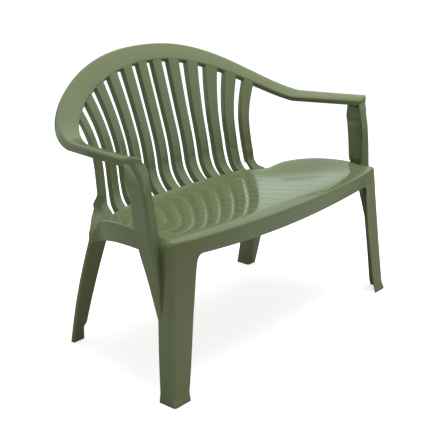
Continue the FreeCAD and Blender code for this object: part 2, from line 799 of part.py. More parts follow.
def make_rear_leg(name, solid):
    """The right rear leg with its shoulder; solid fills the channel, as a tool for trimming."""
    rows = rear_leg_stations()
    inner, outer, web, flange = rows[-1]
    slat_root = height_length(mm("shoulder_height"))
    slat_low, slat_high = [back_point(edge, slat_root) for edge in slat_edges(SLAT_COUNT // 2)]
    for share in (0.2, 0.4, 0.6, 0.8):
        rows.append((shoulder_point(inner, slat_low, share, 1.0),
                     shoulder_point(outer, slat_high, share, 1.3),
                     mix(web, mm("end_slat_web"), share),
                     mix(flange, mm("shoulder_flange"), min(2.0 * share, 1.0))))
    sections = []
    for left, right, inner_depth, outer_depth in rows:
        width = right.distanceToPoint(left)
        frame = level_frame(left.x, left.y, left.z, 0.0, 1)
        outline = channel_section(width, inner_depth, outer_depth, size("wall"),
                                  size("leg_inner_radius"), size("leg_inner_radius"))
        if solid:
            outline = [(0, 0, None), (width, 0, None), (width, web, None), (0, web, None)]
        sections.append((frame, outline))
    frame, outline = slat_station(SLAT_COUNT // 2, 0.0)
    if solid:
        width = slat_high.distanceToPoint(slat_low)
        outline = [(0, 0, None), (width, 0, None), (width, web, None), (0, web, None)]
    sections.append((frame, outline))
    return loft_body(name, sections)


def make_arm_post():
    """The right arm post: an angle that tapers into the front leg and flares into the arm."""
    seat, top = mm("seat_side_height"), mm("arm_inner_height")
    # height, half length and depth of the corner, widths of front strip and side web, turn, lean
    stations = [(seat - 220.0, 531.0, 62.0, 12.0, 10.0, 0.0, 6.0),
                (seat - 162.0, 533.0, 65.0, 22.0, 25.0, -4.0, 8.0),
                (seat - 110.0, 535.0, 67.0, 32.0, 40.0, -6.0, 10.0),
                (seat - 47.0, 541.0, 74.0, 42.0, 56.0, -8.0, 15.0),
                (seat - 4.0, 544.5, 79.5, 46.0, 71.0, -9.0, 21.0),
                (seat + 15.0, 545.5, 81.5, 40.0, 76.0, -10.0, 23.5),
                (seat + 65.0, 547.5, 86.0, 38.0, 77.0, -10.0, 23.5),
                (seat + 118.0, 549.5, 92.5, 35.0, 78.0, -10.0, 23.5),
                (seat + 169.0, 551.0, 100.5, 33.0, 80.0, -8.0, 21.5),
                (top - 20.0, 555.0, 107.0, 35.0, 77.0, -6.0, 19.5),
                (top - 2.0, 571.0, 117.0, 48.0, 66.0, 4.0, 9.5)]
    sections = []
    for z, x, y, width, depth, turn, lean in stations:
        frame = level_frame(x, y, z, turn, -1)
        outline = angle_section(sized(width), sized(depth), size("wall"),
                                size("leg_inner_radius"), lean)
        sections.append((frame, outline))
    return loft_body("arm_post", sections)


# Ribs under the seat

RIB_COUNT = 5


def rib_floor():
    """Height of the lower edge of the ribs at the lowest line of the seat."""
    return mm("seat_low_height") - mm("panel_wall") - mm("rib_depth")


def make_rib(number):
    """A rib that runs from the front apron to the rear apron, before it is trimmed."""
    x = mm("rib_pitch") * (number - (RIB_COUNT + 1) / 2.0)
    frame = frame_at(Vector(x - mm("rib_wall") / 2.0, 0, 0), Vector(0, 1, 0), Vector(0, 0, 1))
    front, back = apron_depth(x) + 1.0, rear_edge(x) - 2.0
    top = mm("seat_side_height")
    outline = [(front, mm("rib_front_height"), None), (back, rib_floor(), None),
               (back, top, None), (front, top, None)]
    body = bring_to_origin(doc.addObject("PartDesign::Body", f"rib_{number}_body"))
    return add_plate(body, f"rib_{number}", frame, outline, size("rib_wall"), False)


def make_spine(name, top):
    """The rib that runs along the bench between the side aprons, before it is trimmed."""
    reach = side_half(mm("spine_depth")) - 2.0
    slope = 120.0
    frame = frame_at(Vector(0, mm("spine_depth"), 0), Vector(1, 0, 0), Vector(0, 0, 1))
    low, high = rib_floor() + 12.0, mm("rib_front_height") + 12.0
    outline = [(-reach, high, None), (slope - reach, low, None), (reach - slope, low, None),
               (reach, high, None), (reach, top, None), (-reach, top, None)]
    body = bring_to_origin(doc.addObject("PartDesign::Body", f"{name}_body"))
    return add_plate(body, name, frame, outline, size("rib_wall"), True)


# Assembly: members are trimmed where they meet, so that neighbours share faces

nodes = []


def mirror_of(source, name):
    """The left-hand twin of a right-hand member."""
    twin = doc.addObject("Part::Mirroring", f"{name}_mirrored")
    twin.Source = source
    twin.Normal = Vector(1, 0, 0)
    return twin


def trim(source, tools, name):
    """Cut a member back to the surfaces of its neighbours, one after the other."""
    for tool in tools:
        cut = doc.addObject("Part::Cut", f"{name}_trimmed")
        cut.Base = source
        cut.Tool = tool
        source = cut
    return source


def add_node(source, name):
    """Name a finished member."""
    source.Label = name
    nodes.append(source)


def build():
    """Build every member and trim it against its neighbours."""
    rear_leg = make_rear_leg("leg_rear", False)
    shoulder = make_rear_leg("shoulder", True)
    shoulders = [shoulder, mirror_of(shoulder, "shoulder")]
    seat, outline, above_seat = make_seat(shoulders)
    rail = make_back_rail("back_rail", False)
    rail_block = make_back_rail("back_rail_block", True)
    arm = make_arm()
    front_leg = trim(make_front_leg("leg_front", False), [above_seat], "leg_front")
    leg_block = make_front_leg("leg_front_block", True)
    leg_blocks = [leg_block, mirror_of(leg_block, "leg_front_block")]
    post = trim(make_arm_post(), [front_leg, arm], "arm_post")
    side = trim(make_side_apron(), [above_seat, front_leg, shoulder], "side_apron")
    pairs = [("arm", arm), ("arm_post", post), ("leg_front", front_leg),
             ("leg_rear", rear_leg), ("side_apron", side)]
    twins = {name: mirror_of(source, name) for name, source in pairs}
    front = trim(make_front_apron(), [above_seat, *leg_blocks], "front_apron")
    rear = trim(make_rear_apron(), [above_seat, *shoulders], "rear_apron")
    spine = make_spine("spine", mm("seat_side_height"))
    spine_lap = make_spine("spine_lap", rib_floor() + 20.0)
    for number in range(1, RIB_COUNT + 1):
        rib = trim(make_rib(number), [spine_lap], f"rib_{number}_lap")
        spine = trim(spine, [rib], f"spine_lap_{number}")
        rib = trim(rib, [above_seat, front, rear], f"rib_{number}")
        add_node(rib, f"seat_rib_{number}")
    spine = trim(spine, [above_seat, side, twins["side_apron"]], "spine")
    for number in range(1, SLAT_COUNT // 2 + 1):
        tools = [outline, rail_block] if number < SLAT_COUNT // 2 else [rail_block]
        slat = trim(make_slat(number), tools, f"slat_{number}")
        twin = mirror_of(slat, f"slat_{number}")
        add_node(slat, f"slat_{SLAT_COUNT // 2 + number:02d}")
        add_node(twin, f"slat_{SLAT_COUNT // 2 + 1 - number:02d}")
    for name, source in pairs:
        add_node(source, f"{name}_right")
        add_node(twins[name], f"{name}_left")
    for source, name in ((seat, "seat_panel"), (rail, "back_rail"), (front, "front_apron"),
                         (rear, "rear_apron"), (spine, "seat_spine")):
        add_node(source, name)


build()
doc.recompute()

for item in doc.Objects:
    if "Invalid" in item.State or "Error" in item.State:
        raise RuntimeError(f"{item.Label} did not build: {item.State}")
for node in nodes:
    if node.Shape.isNull() or not node.Shape.isValid():
        raise RuntimeError(f"{node.Label} has no valid shape")
    box = node.Shape.BoundBox
    print(f"{node.Label:18s} solids {len(node.Shape.Solids)}"
          f"  volume {node.Shape.Volume / 1000:8.1f} cm3"
          f"  x {box.XMin:7.1f} {box.XMax:7.1f}  y {box.YMin:7.1f} {box.YMax:7.1f}"
          f"  z {box.ZMin:6.1f} {box.ZMax:6.1f}")
    node.Shape.exportStep(f"parts/{node.Label}.step")
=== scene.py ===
# %% [markdown]
# # A moulded two-seat garden bench
#
# The real bench leaves its mould as one shell of sage green polypropylene.
# The shell is about 4 mm thick, and its thickness hardly changes, because thick plastic shrinks
# and sinks. So the whole lesson is about bent sheets: each member is a thin sheet whose outer
# face is drawn once, and a modifier gives it its wall.
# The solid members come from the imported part, and the sheets of this scene stand for most of
# them. The ribs, the spine and the rear apron under the seat are shown as they come.

import math
from collections import namedtuple

import bmesh
import bpy
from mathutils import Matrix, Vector


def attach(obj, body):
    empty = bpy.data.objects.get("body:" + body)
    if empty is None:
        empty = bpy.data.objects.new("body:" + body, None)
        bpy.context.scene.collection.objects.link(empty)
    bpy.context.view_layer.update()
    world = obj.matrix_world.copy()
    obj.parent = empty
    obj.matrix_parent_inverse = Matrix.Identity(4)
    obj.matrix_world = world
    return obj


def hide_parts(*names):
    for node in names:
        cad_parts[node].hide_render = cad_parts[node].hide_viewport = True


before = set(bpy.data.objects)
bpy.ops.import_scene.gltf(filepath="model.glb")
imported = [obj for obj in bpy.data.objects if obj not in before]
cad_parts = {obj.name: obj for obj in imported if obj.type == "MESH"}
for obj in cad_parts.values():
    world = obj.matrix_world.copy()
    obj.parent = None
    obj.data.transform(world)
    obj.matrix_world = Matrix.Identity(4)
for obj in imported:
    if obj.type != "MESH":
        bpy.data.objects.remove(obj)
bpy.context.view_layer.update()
print("solid members:", len(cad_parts))

# %% [markdown]
# ## Working in the maker's numbers
#
# A mould maker counts depth from the face of the front feet and works in millimetres.
# The scene counts metres from the ground under the middle of the bench.
# One small function moves a point from the first system to the second, so that every other
# function can speak the maker's language. Only the right half of the bench is drawn, and the
# left half is its mirror image.

# %% Points, blends and smooth steps
FRONT_TO_ORIGIN = 326.3
MM_IN_M = 1000.0


def place(point):
    """Turn a point in the maker's millimetres into the scene's metres."""
    return Vector((point.x, point.y - FRONT_TO_ORIGIN, point.z)) / MM_IN_M


def at(x, y, z):
    """A point or a step in the maker's millimetres."""
    return Vector((x, y, z))


def mix(low, high, share):
    """Blend two numbers or two points; a share of 0 gives the first one."""
    return low * (1.0 - share) + high * share


def ease(share):
    """Smooth step from 0 to 1."""
    share = min(max(share, 0.0), 1.0)
    return share * share * (3.0 - 2.0 * share)


def spread(first, last, count):
    """Evenly spaced numbers, both ends included."""
    return [mix(first, last, index / (count - 1)) for index in range(count)]


def mirrored(point):
    return Vector((-point.x, point.y, point.z))


def mirrored_rows(rows):
    """The same rows on the other side of the bench."""
    return [[mirrored(point) for point in row] for row in rows]


print("front feet, in metres:", place(at(0.0, 0.0, 0.0)))

# %% [markdown]
# ## A bent sheet
#
# Seen in section, every member is a strip that is bent once or twice: an angle for the legs,
# a channel for the slats and the rail. The section could be a curve with a bevel object, but a
# curve cannot change its section along the way. Here a grid is laid out with one row for each
# station, and its vertices are moved onto the section of that station.
# Each bend is a quarter of an ellipse between its two legs, which is smooth at any angle.

# %% Sections of a bent strip
QUARTER_TURN = math.pi / 2.0


def bend(corners, radii, turns, parts):
    """Points of a strip: turns steps round each inner corner, parts steps between them."""
    line = []
    start = corners[0]
    for index in range(1, len(corners) - 1):
        corner, following = corners[index], corners[index + 1]
        radius = radii[index - 1]
        back = (corners[index - 1] - corner).normalized()
        ahead = (following - corner).normalized()
        line += [mix(start, corner + back * radius, part / parts) for part in range(parts)]
        for turn in range(turns + 1):
            angle = QUARTER_TURN * turn / turns
            line.append(corner + back * radius * (1.0 - math.sin(angle))
                        + ahead * radius * (1.0 - math.cos(angle)))
        start = line.pop()
    return line + [mix(start, corners[-1], part / parts) for part in range(parts + 1)]


def smooth_rows(rows, steps):
    """Put stations between the given ones, on a Catmull-Rom curve through them."""
    result = []
    for index in range(len(rows) - 1):
        before = rows[max(index - 1, 0)]
        low, high = rows[index], rows[index + 1]
        after = rows[min(index + 2, len(rows) - 1)]
        for step in range(steps):
            t = step / steps
            weights = (-0.5 * t + t * t - 0.5 * t ** 3, 1.0 - 2.5 * t * t + 1.5 * t ** 3,
                       0.5 * t + 2.0 * t * t - 1.5 * t ** 3, -0.5 * t * t + 0.5 * t ** 3)
            result.append([a * weights[0] + b * weights[1] + c * weights[2] + d * weights[3]
                           for a, b, c, d in zip(before, low, high, after)])
    return result + [rows[-1]]


def along(line, count):
    """Points spaced evenly along a line of points."""
    steps = [(after - before).length for before, after in zip(line, line[1:])]
    result, index, passed = [], 0, 0.0
    for reach in spread(0.0, sum(steps), count):
        while index < len(steps) - 1 and passed + steps[index] < reach:
            passed += steps[index]
            index += 1
        result.append(mix(line[index], line[index + 1], (reach - passed) / steps[index]))
    return result


print("a line in three points:", along([at(0, 0, 0), at(40, 0, 0)], 3))

# %% [markdown]
# ## From rows to a moulded wall
#
# The grid operator makes the sheet, and the vertices take their places from the rows.
# Where two patches of one sheet share a row, they are welded, so that the light runs over the
# joint. A Solidify modifier then adds the wall on the hidden side, and a small Bevel rounds the
# rims as the mould does. Both stay live, which keeps the mesh light.

# %% Sheets
WALL, SLAT_WALL = 4.0, 3.5
RIM_ROUNDING, RIM_ANGLE = 0.7, math.radians(50.0)
WELD_DISTANCE = 0.00002
FRONT, TOP = at(0, -1, 0), at(0, 0, 1)


def add_object(name, data):
    """Make an object around its data and put it in the scene."""
    item = bpy.data.objects.new(name, data)
    bpy.context.scene.collection.objects.link(item)
    return item


def mesh_object(name, bm):
    """Turn a bmesh into an object of the scene."""
    mesh = bpy.data.meshes.new(name)
    bm.to_mesh(mesh)
    bm.free()
    return add_object(name, mesh)


def lay_grid(bm, rows):
    """Add a grid to a bmesh and move its vertices onto the rows."""
    columns, lines = len(rows[0]) - 1, len(rows) - 1
    made = bmesh.ops.create_grid(bm, x_segments=columns, y_segments=lines, size=0.5)["verts"]
    for vertex in made:
        column = round((vertex.co.x + 0.5) * columns)
        line = round((vertex.co.y + 0.5) * lines)
        vertex.co = place(rows[line][column])


def sheet(name, patches, wall, outside, replaces):
    """Make a moulded wall from patches of rows; its outer face looks along outside."""
    bm = bmesh.new()
    for rows in patches:
        lay_grid(bm, rows)
    bmesh.ops.remove_doubles(bm, verts=bm.verts, dist=WELD_DISTANCE)
    bmesh.ops.recalc_face_normals(bm, faces=bm.faces)
    looks = [face.normal.dot(outside) for face in bm.faces]
    if -min(looks) > max(looks):
        bmesh.ops.reverse_faces(bm, faces=bm.faces)
    for face in bm.faces:
        face.smooth = True
    piece = mesh_object(name, bm)
    solid = piece.modifiers.new("wall", "SOLIDIFY")
    solid.thickness = wall / MM_IN_M
    solid.offset = -1.0
    edge = piece.modifiers.new("rim", "BEVEL")
    edge.width = RIM_ROUNDING / MM_IN_M
    edge.segments = 2
    edge.limit_method = "ANGLE"
    edge.angle_limit = RIM_ANGLE
    edge.harden_normals = True
    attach(piece, "root")
    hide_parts(*replaces)
    print(name, "faces", len(piece.data.polygons))
    return piece


# %% [markdown]
# ## The back as one surface
#
# All slats lie in one surface. From the lowest line of the seat it turns up through a cove,
# bends slowly at the lumbar height and then leans straight back. In plan the surface is bowed
# forward at both ends, so that the back holds the sitter.
# It could be one mesh cut into slats, but a formula gives each slat its own clean rows.

# %% Surface of the back
LOW_DEPTH, LOW_HEIGHT = 407.5, 397.5
COVE, LUMBAR = 102.4, 700.0
WAIST_LEAN, UPPER_LEAN = math.radians(8.0), math.radians(17.6)
COVE_TURN = QUARTER_TURN - WAIST_LEAN
SLOT_DEPTH = 461.5
SLOT_LENGTH = COVE * math.asin((SLOT_DEPTH - LOW_DEPTH) / COVE)


def back_profile(length):
    """Depth and height in the middle of the back, at a length above the lowest seat line."""
    cove_length = COVE * COVE_TURN
    turn = min(length / COVE, COVE_TURN)
    y = LOW_DEPTH + COVE * math.sin(turn)
    z = LOW_HEIGHT + COVE * (1.0 - math.cos(turn))
    if length <= cove_length:
        return y, z
    lean = min(WAIST_LEAN + (length - cove_length) / LUMBAR, UPPER_LEAN)
    y += LUMBAR * (math.cos(WAIST_LEAN) - math.cos(lean))
    z += LUMBAR * (math.sin(lean) - math.sin(WAIST_LEAN))
    rest = max(length - cove_length - LUMBAR * (UPPER_LEAN - WAIST_LEAN), 0.0)
    return y + rest * math.sin(lean), z + rest * math.cos(lean)


SLOT_HEIGHT = back_profile(SLOT_LENGTH)[1]
print("slots begin at depth and height", SLOT_DEPTH, round(SLOT_HEIGHT, 1))

# %% [markdown]
# ## How the back is bowed and the slats fan out
#
# The bow in plan is a parabola that grows from the slots up to the waist and on to the crown.
# The slats stand closest together at the waist, spread like a fan above it and a little below.

# %% Points of the back
SLOT_BOW, WAIST_BOW, CROWN_BOW = 0.000206, 0.00037, 0.00047
WAIST_RISE = 62.0
CROWN_BOW_FROM, CROWN_BOW_RISE = 485.0, 200.0
FAN_HEIGHT, FAN_EDGE = 560.0, 360.0
FAN_UP, FAN_UP_POWER, FAN_DOWN = 0.0098, 1.7, 0.00045


def plan_bow(z):
    """Depth lost per square of the distance from the middle, at a height."""
    to_waist = ease((z - SLOT_HEIGHT) / WAIST_RISE)
    to_crown = ease((z - CROWN_BOW_FROM) / CROWN_BOW_RISE)
    return mix(mix(SLOT_BOW, WAIST_BOW, to_waist), CROWN_BOW, to_crown)


def slat_line(x_waist, z):
    """Distance from the middle, at a height, of a slat edge that is at x_waist at the waist."""
    share, rise = x_waist / FAN_EDGE, z - FAN_HEIGHT
    if rise > 0.0:
        return x_waist + FAN_UP * (rise * share) ** FAN_UP_POWER
    return x_waist + FAN_DOWN * rise ** 2 * share


def back_point(x_waist, length):
    """Point of the slats' front surface."""
    y, z = back_profile(length)
    x = slat_line(x_waist, z)
    return at(x, y - plan_bow(z) * x * x, z)


print("end of the back at the slots:", back_point(FAN_EDGE, SLOT_LENGTH))

# %% [markdown]
# ## The creases of the arched rail
#
# The rail runs round the back on two creases, an outer and an inner one. Both are superellipses
# in plan that rise to the crown. Bezier curves could be drawn by eye, but a formula can be asked
# for its height at any slat. The inner crease lags a little behind the outer one, so that the
# sections stand square to the rail.

# %% Creases of the rail
Crease = namedtuple("Crease", "half start reach base rise power rise_power")
OUTER = Crease(543.0, 335.0, 304.5, 667.5, 195.2, 2.27, 2.26)
INNER = Crease(482.0, 348.5, 251.5, 651.5, 161.0, 2.03, 1.9)
OUTER_ROOT, INNER_ROOT = 0.15, 0.09
INNER_LAG = math.radians(5.0)
CROWN_ANGLE = 90.0


def crease_point(line, share):
    """Point of a crease at a share of its reach to the rear."""
    return at(line.half * (1.0 - share ** line.power) ** (1.0 / line.power),
              line.start + line.reach * share, line.base + line.rise * share ** line.rise_power)


def creases(angle):
    """Outer and inner crease at an angle from 0 at the arm's root to 90 at the crown."""
    points = []
    for line, root_share, lag in ((OUTER, OUTER_ROOT, 0.0), (INNER, INNER_ROOT, INNER_LAG)):
        root = math.asin(root_share ** (line.power / 2.0))
        turn = (mix(root, QUARTER_TURN, angle / CROWN_ANGLE)
                - lag * math.sin(math.radians(2.0 * angle)))
        points.append(crease_point(line, math.sin(turn) ** (2.0 / line.power)))
    return points


def inner_crease_at(x):
    """Point of the inner crease at a distance from the middle."""
    share = (1.0 - (x / INNER.half) ** INNER.power) ** (1.0 / INNER.power)
    return crease_point(INNER, share)


print("crown of the rail:", creases(CROWN_ANGLE)[0])

# %% [markdown]
# ## The section of the rail and the arms
#
# The rail is a channel that is open downwards: an outer flange, a face and an inner flange.
# The face is a little cushioned, which spreads its highlight as on the real bench. Towards the
# front of the arms the flanges turn upright, because there they meet the posts.

# %% Section of the rail
OUTER_FLANGE, INNER_FLANGE = 24.0, 17.0
OUTER_RADIUS, INNER_RADIUS = 8.0, 5.0
RAIL_TURNS, RAIL_PARTS = 5, 8
RAIL_CUSHION = 1.8
ROUND_FRONT = at(0.0, -6.0, 0.0)
PLUMB = at(0.0, 0.0, -1.0)


def cushioned(row, outer, inner, lift):
    """Arch the face of a row between its two creases by a vector at its middle."""
    face = (inner - outer).length
    across = (inner - outer).normalized()
    result = []
    for point in row:
        share = min(max((point - outer).dot(across) / face, 0.0), 1.0)
        result.append(point + lift * 4.0 * share * (1.0 - share))
    return result


def channel_row(outer, inner, travel, cushion=RAIL_CUSHION, upright=0.0, front=0.0):
    """Section of the rail; upright turns the flanges to plumb, front rounds the face forward."""
    down = (inner - outer).cross(travel).normalized()
    flange = mix(down, PLUMB, upright).normalized()
    row = bend([outer + flange * OUTER_FLANGE, outer, inner, inner + flange * INNER_FLANGE],
               [OUTER_RADIUS, INNER_RADIUS], RAIL_TURNS, RAIL_PARTS)
    return cushioned(row, outer, inner, down * -cushion + ROUND_FRONT * front)


def rail_travel(angle):
    """Direction in which the rail runs at an angle."""
    ahead, here = creases(angle + 1.0), creases(angle)
    return ahead[0] + ahead[1] - here[0] - here[1]


print("points of a rail section:", len(channel_row(*creases(0.0), rail_travel(0.0))))

# %% [markdown]
# ## The front of an arm
#
# Each arm ends in a rounded nose. A sphere would leave a seam, so the last sections of the
# channel turn down through a quarter circle.

# %% Rows of the nose
ARM_TIP = [at(580.5, 138.0, 673.5), at(527.5, 121.5, 661.5)]
NOSE_TURNS = (90.0, 75.0, 60.0, 45.0, 30.0, 15.0)
NOSE_RADII = (6.0, 5.0)
NOSE_OUTER_RADIUS, NOSE_INNER_RADIUS = 4.0, 3.0
ARM_UPRIGHT = 0.7
ARM_CUSHION, TIP_CUSHION = 2.0, 6.0


def nose_rows():
    """Rows of the arm's rounded front, from the post up to the tip of the arm."""
    outer, inner = ARM_TIP
    back = rail_travel(0.0).normalized()
    down = (inner - outer).cross(back).normalized()
    flange = mix(down, PLUMB, ARM_UPRIGHT).normalized()
    rows = []
    for degrees in NOSE_TURNS:
        angle, share = math.radians(degrees), degrees / NOSE_TURNS[0]
        ends = [point - back * radius * math.sin(angle) + down * radius * (1.0 - math.cos(angle))
                for point, radius in zip(ARM_TIP, NOSE_RADII)]
        row = bend([outer + flange * OUTER_FLANGE, *ends, inner + flange * INNER_FLANGE],
                   [mix(OUTER_RADIUS, NOSE_OUTER_RADIUS, share),
                    mix(INNER_RADIUS, NOSE_INNER_RADIUS, share)], RAIL_TURNS, RAIL_PARTS)
        rows.append(cushioned(row, *ends, down * -TIP_CUSHION * math.cos(angle) + ROUND_FRONT))
    return rows


front_rows = nose_rows()
print("rows of the nose:", len(front_rows))

# %% [markdown]
# ## One row of sections from arm to arm
#
# The same channel runs on from the nose along the arm and round the back, so one set of rows
# makes the arm and half of the rail. The mirrored rows go back to the other arm.

# %% Rail and arms
ARM_STATIONS = (1.0, 0.97, 0.92, 0.85, 0.75, 0.6, 0.45, 0.3, 0.15)
RAIL_STATIONS = 41
ROUND_FROM, ROUND_SPAN = 0.7, 0.3
CUSHION_POWER = 6
LAST_TRAVEL_ANGLE = 89.0


def half_rail():
    """Rows from the front of the right arm to the crown."""
    rows = list(front_rows)
    root = creases(0.0)
    for share in ARM_STATIONS:
        outer, inner = mix(root[0], ARM_TIP[0], share), mix(root[1], ARM_TIP[1], share)
        cushion = ARM_CUSHION + (TIP_CUSHION - ARM_CUSHION) * share ** CUSHION_POWER
        rounding = ease((share - ROUND_FROM) / ROUND_SPAN)
        rows.append(channel_row(outer, inner, rail_travel(0.0), cushion, ARM_UPRIGHT * share,
                                rounding))
    for angle in spread(0.0, CROWN_ANGLE, RAIL_STATIONS):
        travel = rail_travel(angle) if angle < LAST_TRAVEL_ANGLE else at(-1.0, 0.0, 0.0)
        rows.append(channel_row(*creases(angle), travel))
    return rows


right_rail = half_rail()
left_rail = mirrored_rows(reversed(right_rail[:-1]))
print("sections from arm to arm:", len(right_rail) + len(left_rail))

# %% [markdown]
# ## The height of the seat
#
# The seat is dished from front to back and rises to its two side rims. It could be sculpted, but
# the slats need its height where they end, so it is a formula that is defined before them.
# First come its outline and the height of the side rims.

# %% Outline of the seat
SEAT_TOP = 447.0
FRONT_Y, FRONT_CURVE = -5.8, 46.0
SIDE_X, SIDE_REAR_Y = 512.0, 430.0
SIDE_TAPER, SIDE_TAPER_POWER = 90.0, 1.9
SIDE_RISE, SIDE_DROP, SIDE_DROP_POWER = 28.0, 71.5, 2.8


def front_edge(x):
    """Depth of the seat's front edge."""
    return FRONT_Y + FRONT_CURVE * (x / SIDE_X) ** 2


def rear_edge(x):
    """Depth of the line where the slots begin."""
    return SLOT_DEPTH - SLOT_BOW * x * x


def side_share(y):
    """Share of the way along the side of the seat, from front to rear."""
    return max(y - front_edge(SIDE_X), 0.0) / (SIDE_REAR_Y - front_edge(SIDE_X))


def side_half(y):
    """Half width of the seat."""
    return SIDE_X - SIDE_TAPER * side_share(y) ** SIDE_TAPER_POWER


def side_height(y):
    """Height of the side rim."""
    share = side_share(y)
    return SEAT_TOP + SIDE_RISE * share - SIDE_DROP * share ** SIDE_DROP_POWER


print("half width at the rear:", side_half(SIDE_REAR_Y))

# %% [markdown]
# ## The dish between the rims
#
# Three forms make the middle line: the cove at the rear, a slope that eases up to the crest,
# and a short fall to the front edge. The dish fades into the side rims over a broad band, and
# the rear corners drop a little into the rear legs.

# %% Heights of the seat
DISH_TOP, DISH_CREST_Y, FRONT_FALL = 448.0, 34.0, 5.5
DISH_ROUND, DISH_EASED = 0.38, 0.62
BAND_WIDTH, BAND_POWER = 185.0, 1.5
CORNER_FALL = 10.0
CORNER_Y, CORNER_Y_SPAN = 372.0, 53.0
CORNER_X, CORNER_X_SPAN = 335.0, 80.0


def dish_height(y):
    """Height of the seat's middle line."""
    if y > LOW_DEPTH:
        return LOW_HEIGHT + COVE - math.sqrt(COVE ** 2 - (y - LOW_DEPTH) ** 2)
    drop = DISH_TOP - LOW_HEIGHT
    if y > DISH_CREST_Y:
        share = (LOW_DEPTH - y) / (LOW_DEPTH - DISH_CREST_Y)
        return LOW_HEIGHT + drop * (DISH_ROUND * share ** 2 + DISH_EASED * ease(share))
    return LOW_HEIGHT + drop - FRONT_FALL * ((DISH_CREST_Y - y) / (DISH_CREST_Y - FRONT_Y)) ** 2


def seat_height(x, y):
    """Height of the seat's face at any point of its plan."""
    half = abs(x)
    front, rear = front_edge(half), rear_edge(half)
    share = (y - front) / (rear - front)
    middle = dish_height(mix(FRONT_Y, SLOT_DEPTH, share))
    band = (half - side_half(y)) / BAND_WIDTH + 1.0
    fall = (CORNER_FALL * ease((y - CORNER_Y) / CORNER_Y_SPAN)
            * ease((half - CORNER_X) / CORNER_X_SPAN))
    return mix(middle, side_height(y), ease(band) ** BAND_POWER) - fall


print("lowest seat height:", round(seat_height(0.0, LOW_DEPTH), 1))

# %% [markdown]
# ## The slats
#
# Each slat is a shallow channel whose flanges stand square to the back in the cove and run
# nearly straight back above it, the way the mould opens. It begins in the cove of the seat and
# ends in the wall of the rail. Its two edges have their own lengths, because the rail crosses
# them at a slant. An array modifier could not do that, so a loop lays each slat's own rows.

# %% Section and ends of a slat
HALF_SLATS = 6
SLAT_PITCH, SLAT_WIDTH, END_SLAT_WIDTH = 63.5, 36.0, 32.0
LENGTH_STEP, TOP_OVERLAP = 0.5, 3.0
SLAT_TURNS, SLAT_PARTS = 4, 3
TAIL, TAIL_DROP, TAIL_POWER = 6.0, 4.5, 1.5
SINK_REACH = 45.0


def slat_edges(number):
    """Both edges of a slat at the waist, counted from the middle of the bench."""
    middle = SLAT_PITCH * (number - 0.5)
    width = END_SLAT_WIDTH if number == HALF_SLATS else SLAT_WIDTH
    return middle - width / 2.0, middle + width / 2.0


def top_length(x_waist):
    """Length up the back where an edge has passed the inner crease of the rail."""
    length = SLOT_LENGTH
    while back_point(x_waist, length).z < inner_crease_at(back_point(x_waist, length).x).z:
        length += LENGTH_STEP
    return length + TOP_OVERLAP


def slat_row(edges, depths, radius, tilts, splay=0.0):
    """Section of a slat: flange, face, flange; tilts turn the flanges down from straight back."""
    rear = [edge + at(0.0, math.cos(tilt), -math.sin(tilt)) * depth
            for edge, depth, tilt in zip(edges, depths, tilts)]
    rear[0].x -= splay
    return bend([rear[0], *edges, rear[1]], [radius, radius], SLAT_TURNS, SLAT_PARTS)


def flange_tilt(length):
    """The flanges stand square to the back, so they point down where the cove lies flat."""
    return QUARTER_TURN - min(length / COVE, COVE_TURN)


def sunk(point, length):
    """Lower a point of a slat's end, so that the end runs into the seat from below."""
    drop = SLOT_HEIGHT - seat_height(point.x, rear_edge(point.x))
    near = 1.0 - ease((length - SLOT_LENGTH) / SINK_REACH)
    under = max(SLOT_LENGTH - length, 0.0) / TAIL
    return at(point.x, point.y, point.z - drop * near - TAIL_DROP * under ** TAIL_POWER)


print("edges of the first slat:", slat_edges(1))

# %% [markdown]
# ## Ten slats that stand free
#
# The two end slats are the tops of the rear legs and come later. The other ten are made here
# as five pairs. Their stations lie closer together in the cove, where the surface bends most.

# %% Slats
SLAT_STATIONS, STATION_POWER = 41, 1.15
TAIL_DEPTH, SLAT_DEPTH, DEPTH_SHARE = 23.0, 20.0, 0.25
SLAT_RADIUS = 2.2


def slat_rows(number):
    tops = [top_length(x) for x in slat_edges(number)]
    rows = []
    for share in spread(0.0, 1.0, SLAT_STATIONS):
        lengths = [mix(SLOT_LENGTH - TAIL, top, share ** STATION_POWER) for top in tops]
        edges = [sunk(back_point(x, length), length)
                 for x, length in zip(slat_edges(number), lengths)]
        depth = mix(TAIL_DEPTH, SLAT_DEPTH, ease(share / DEPTH_SHARE))
        tilt = flange_tilt(lengths[0])
        rows.append(slat_row(edges, (depth, depth), SLAT_RADIUS, (tilt, tilt)))
    return rows


for number in range(1, HALF_SLATS):
    rows = slat_rows(number)
    right_name = f"slat_{HALF_SLATS + number:02d}"
    left_name = f"slat_{HALF_SLATS + 1 - number:02d}"
    sheet(f"face_{right_name}", [rows], SLAT_WALL, FRONT, [right_name])
    turned_rows = [row[::-1] for row in rows]
    sheet(f"face_{left_name}", [mirrored_rows(turned_rows)], SLAT_WALL, FRONT, [left_name])

# %% [markdown]
# ## Rear legs that run up into the end slats
#
# A rear leg is a channel too, and its top passes through a shoulder into the last slat without
# a break. Two meshes with a boolean would leave a seam there, so one sheet goes from the ground
# to the rail. The foot has a small step on its inner edge, where benches rest in a stack.

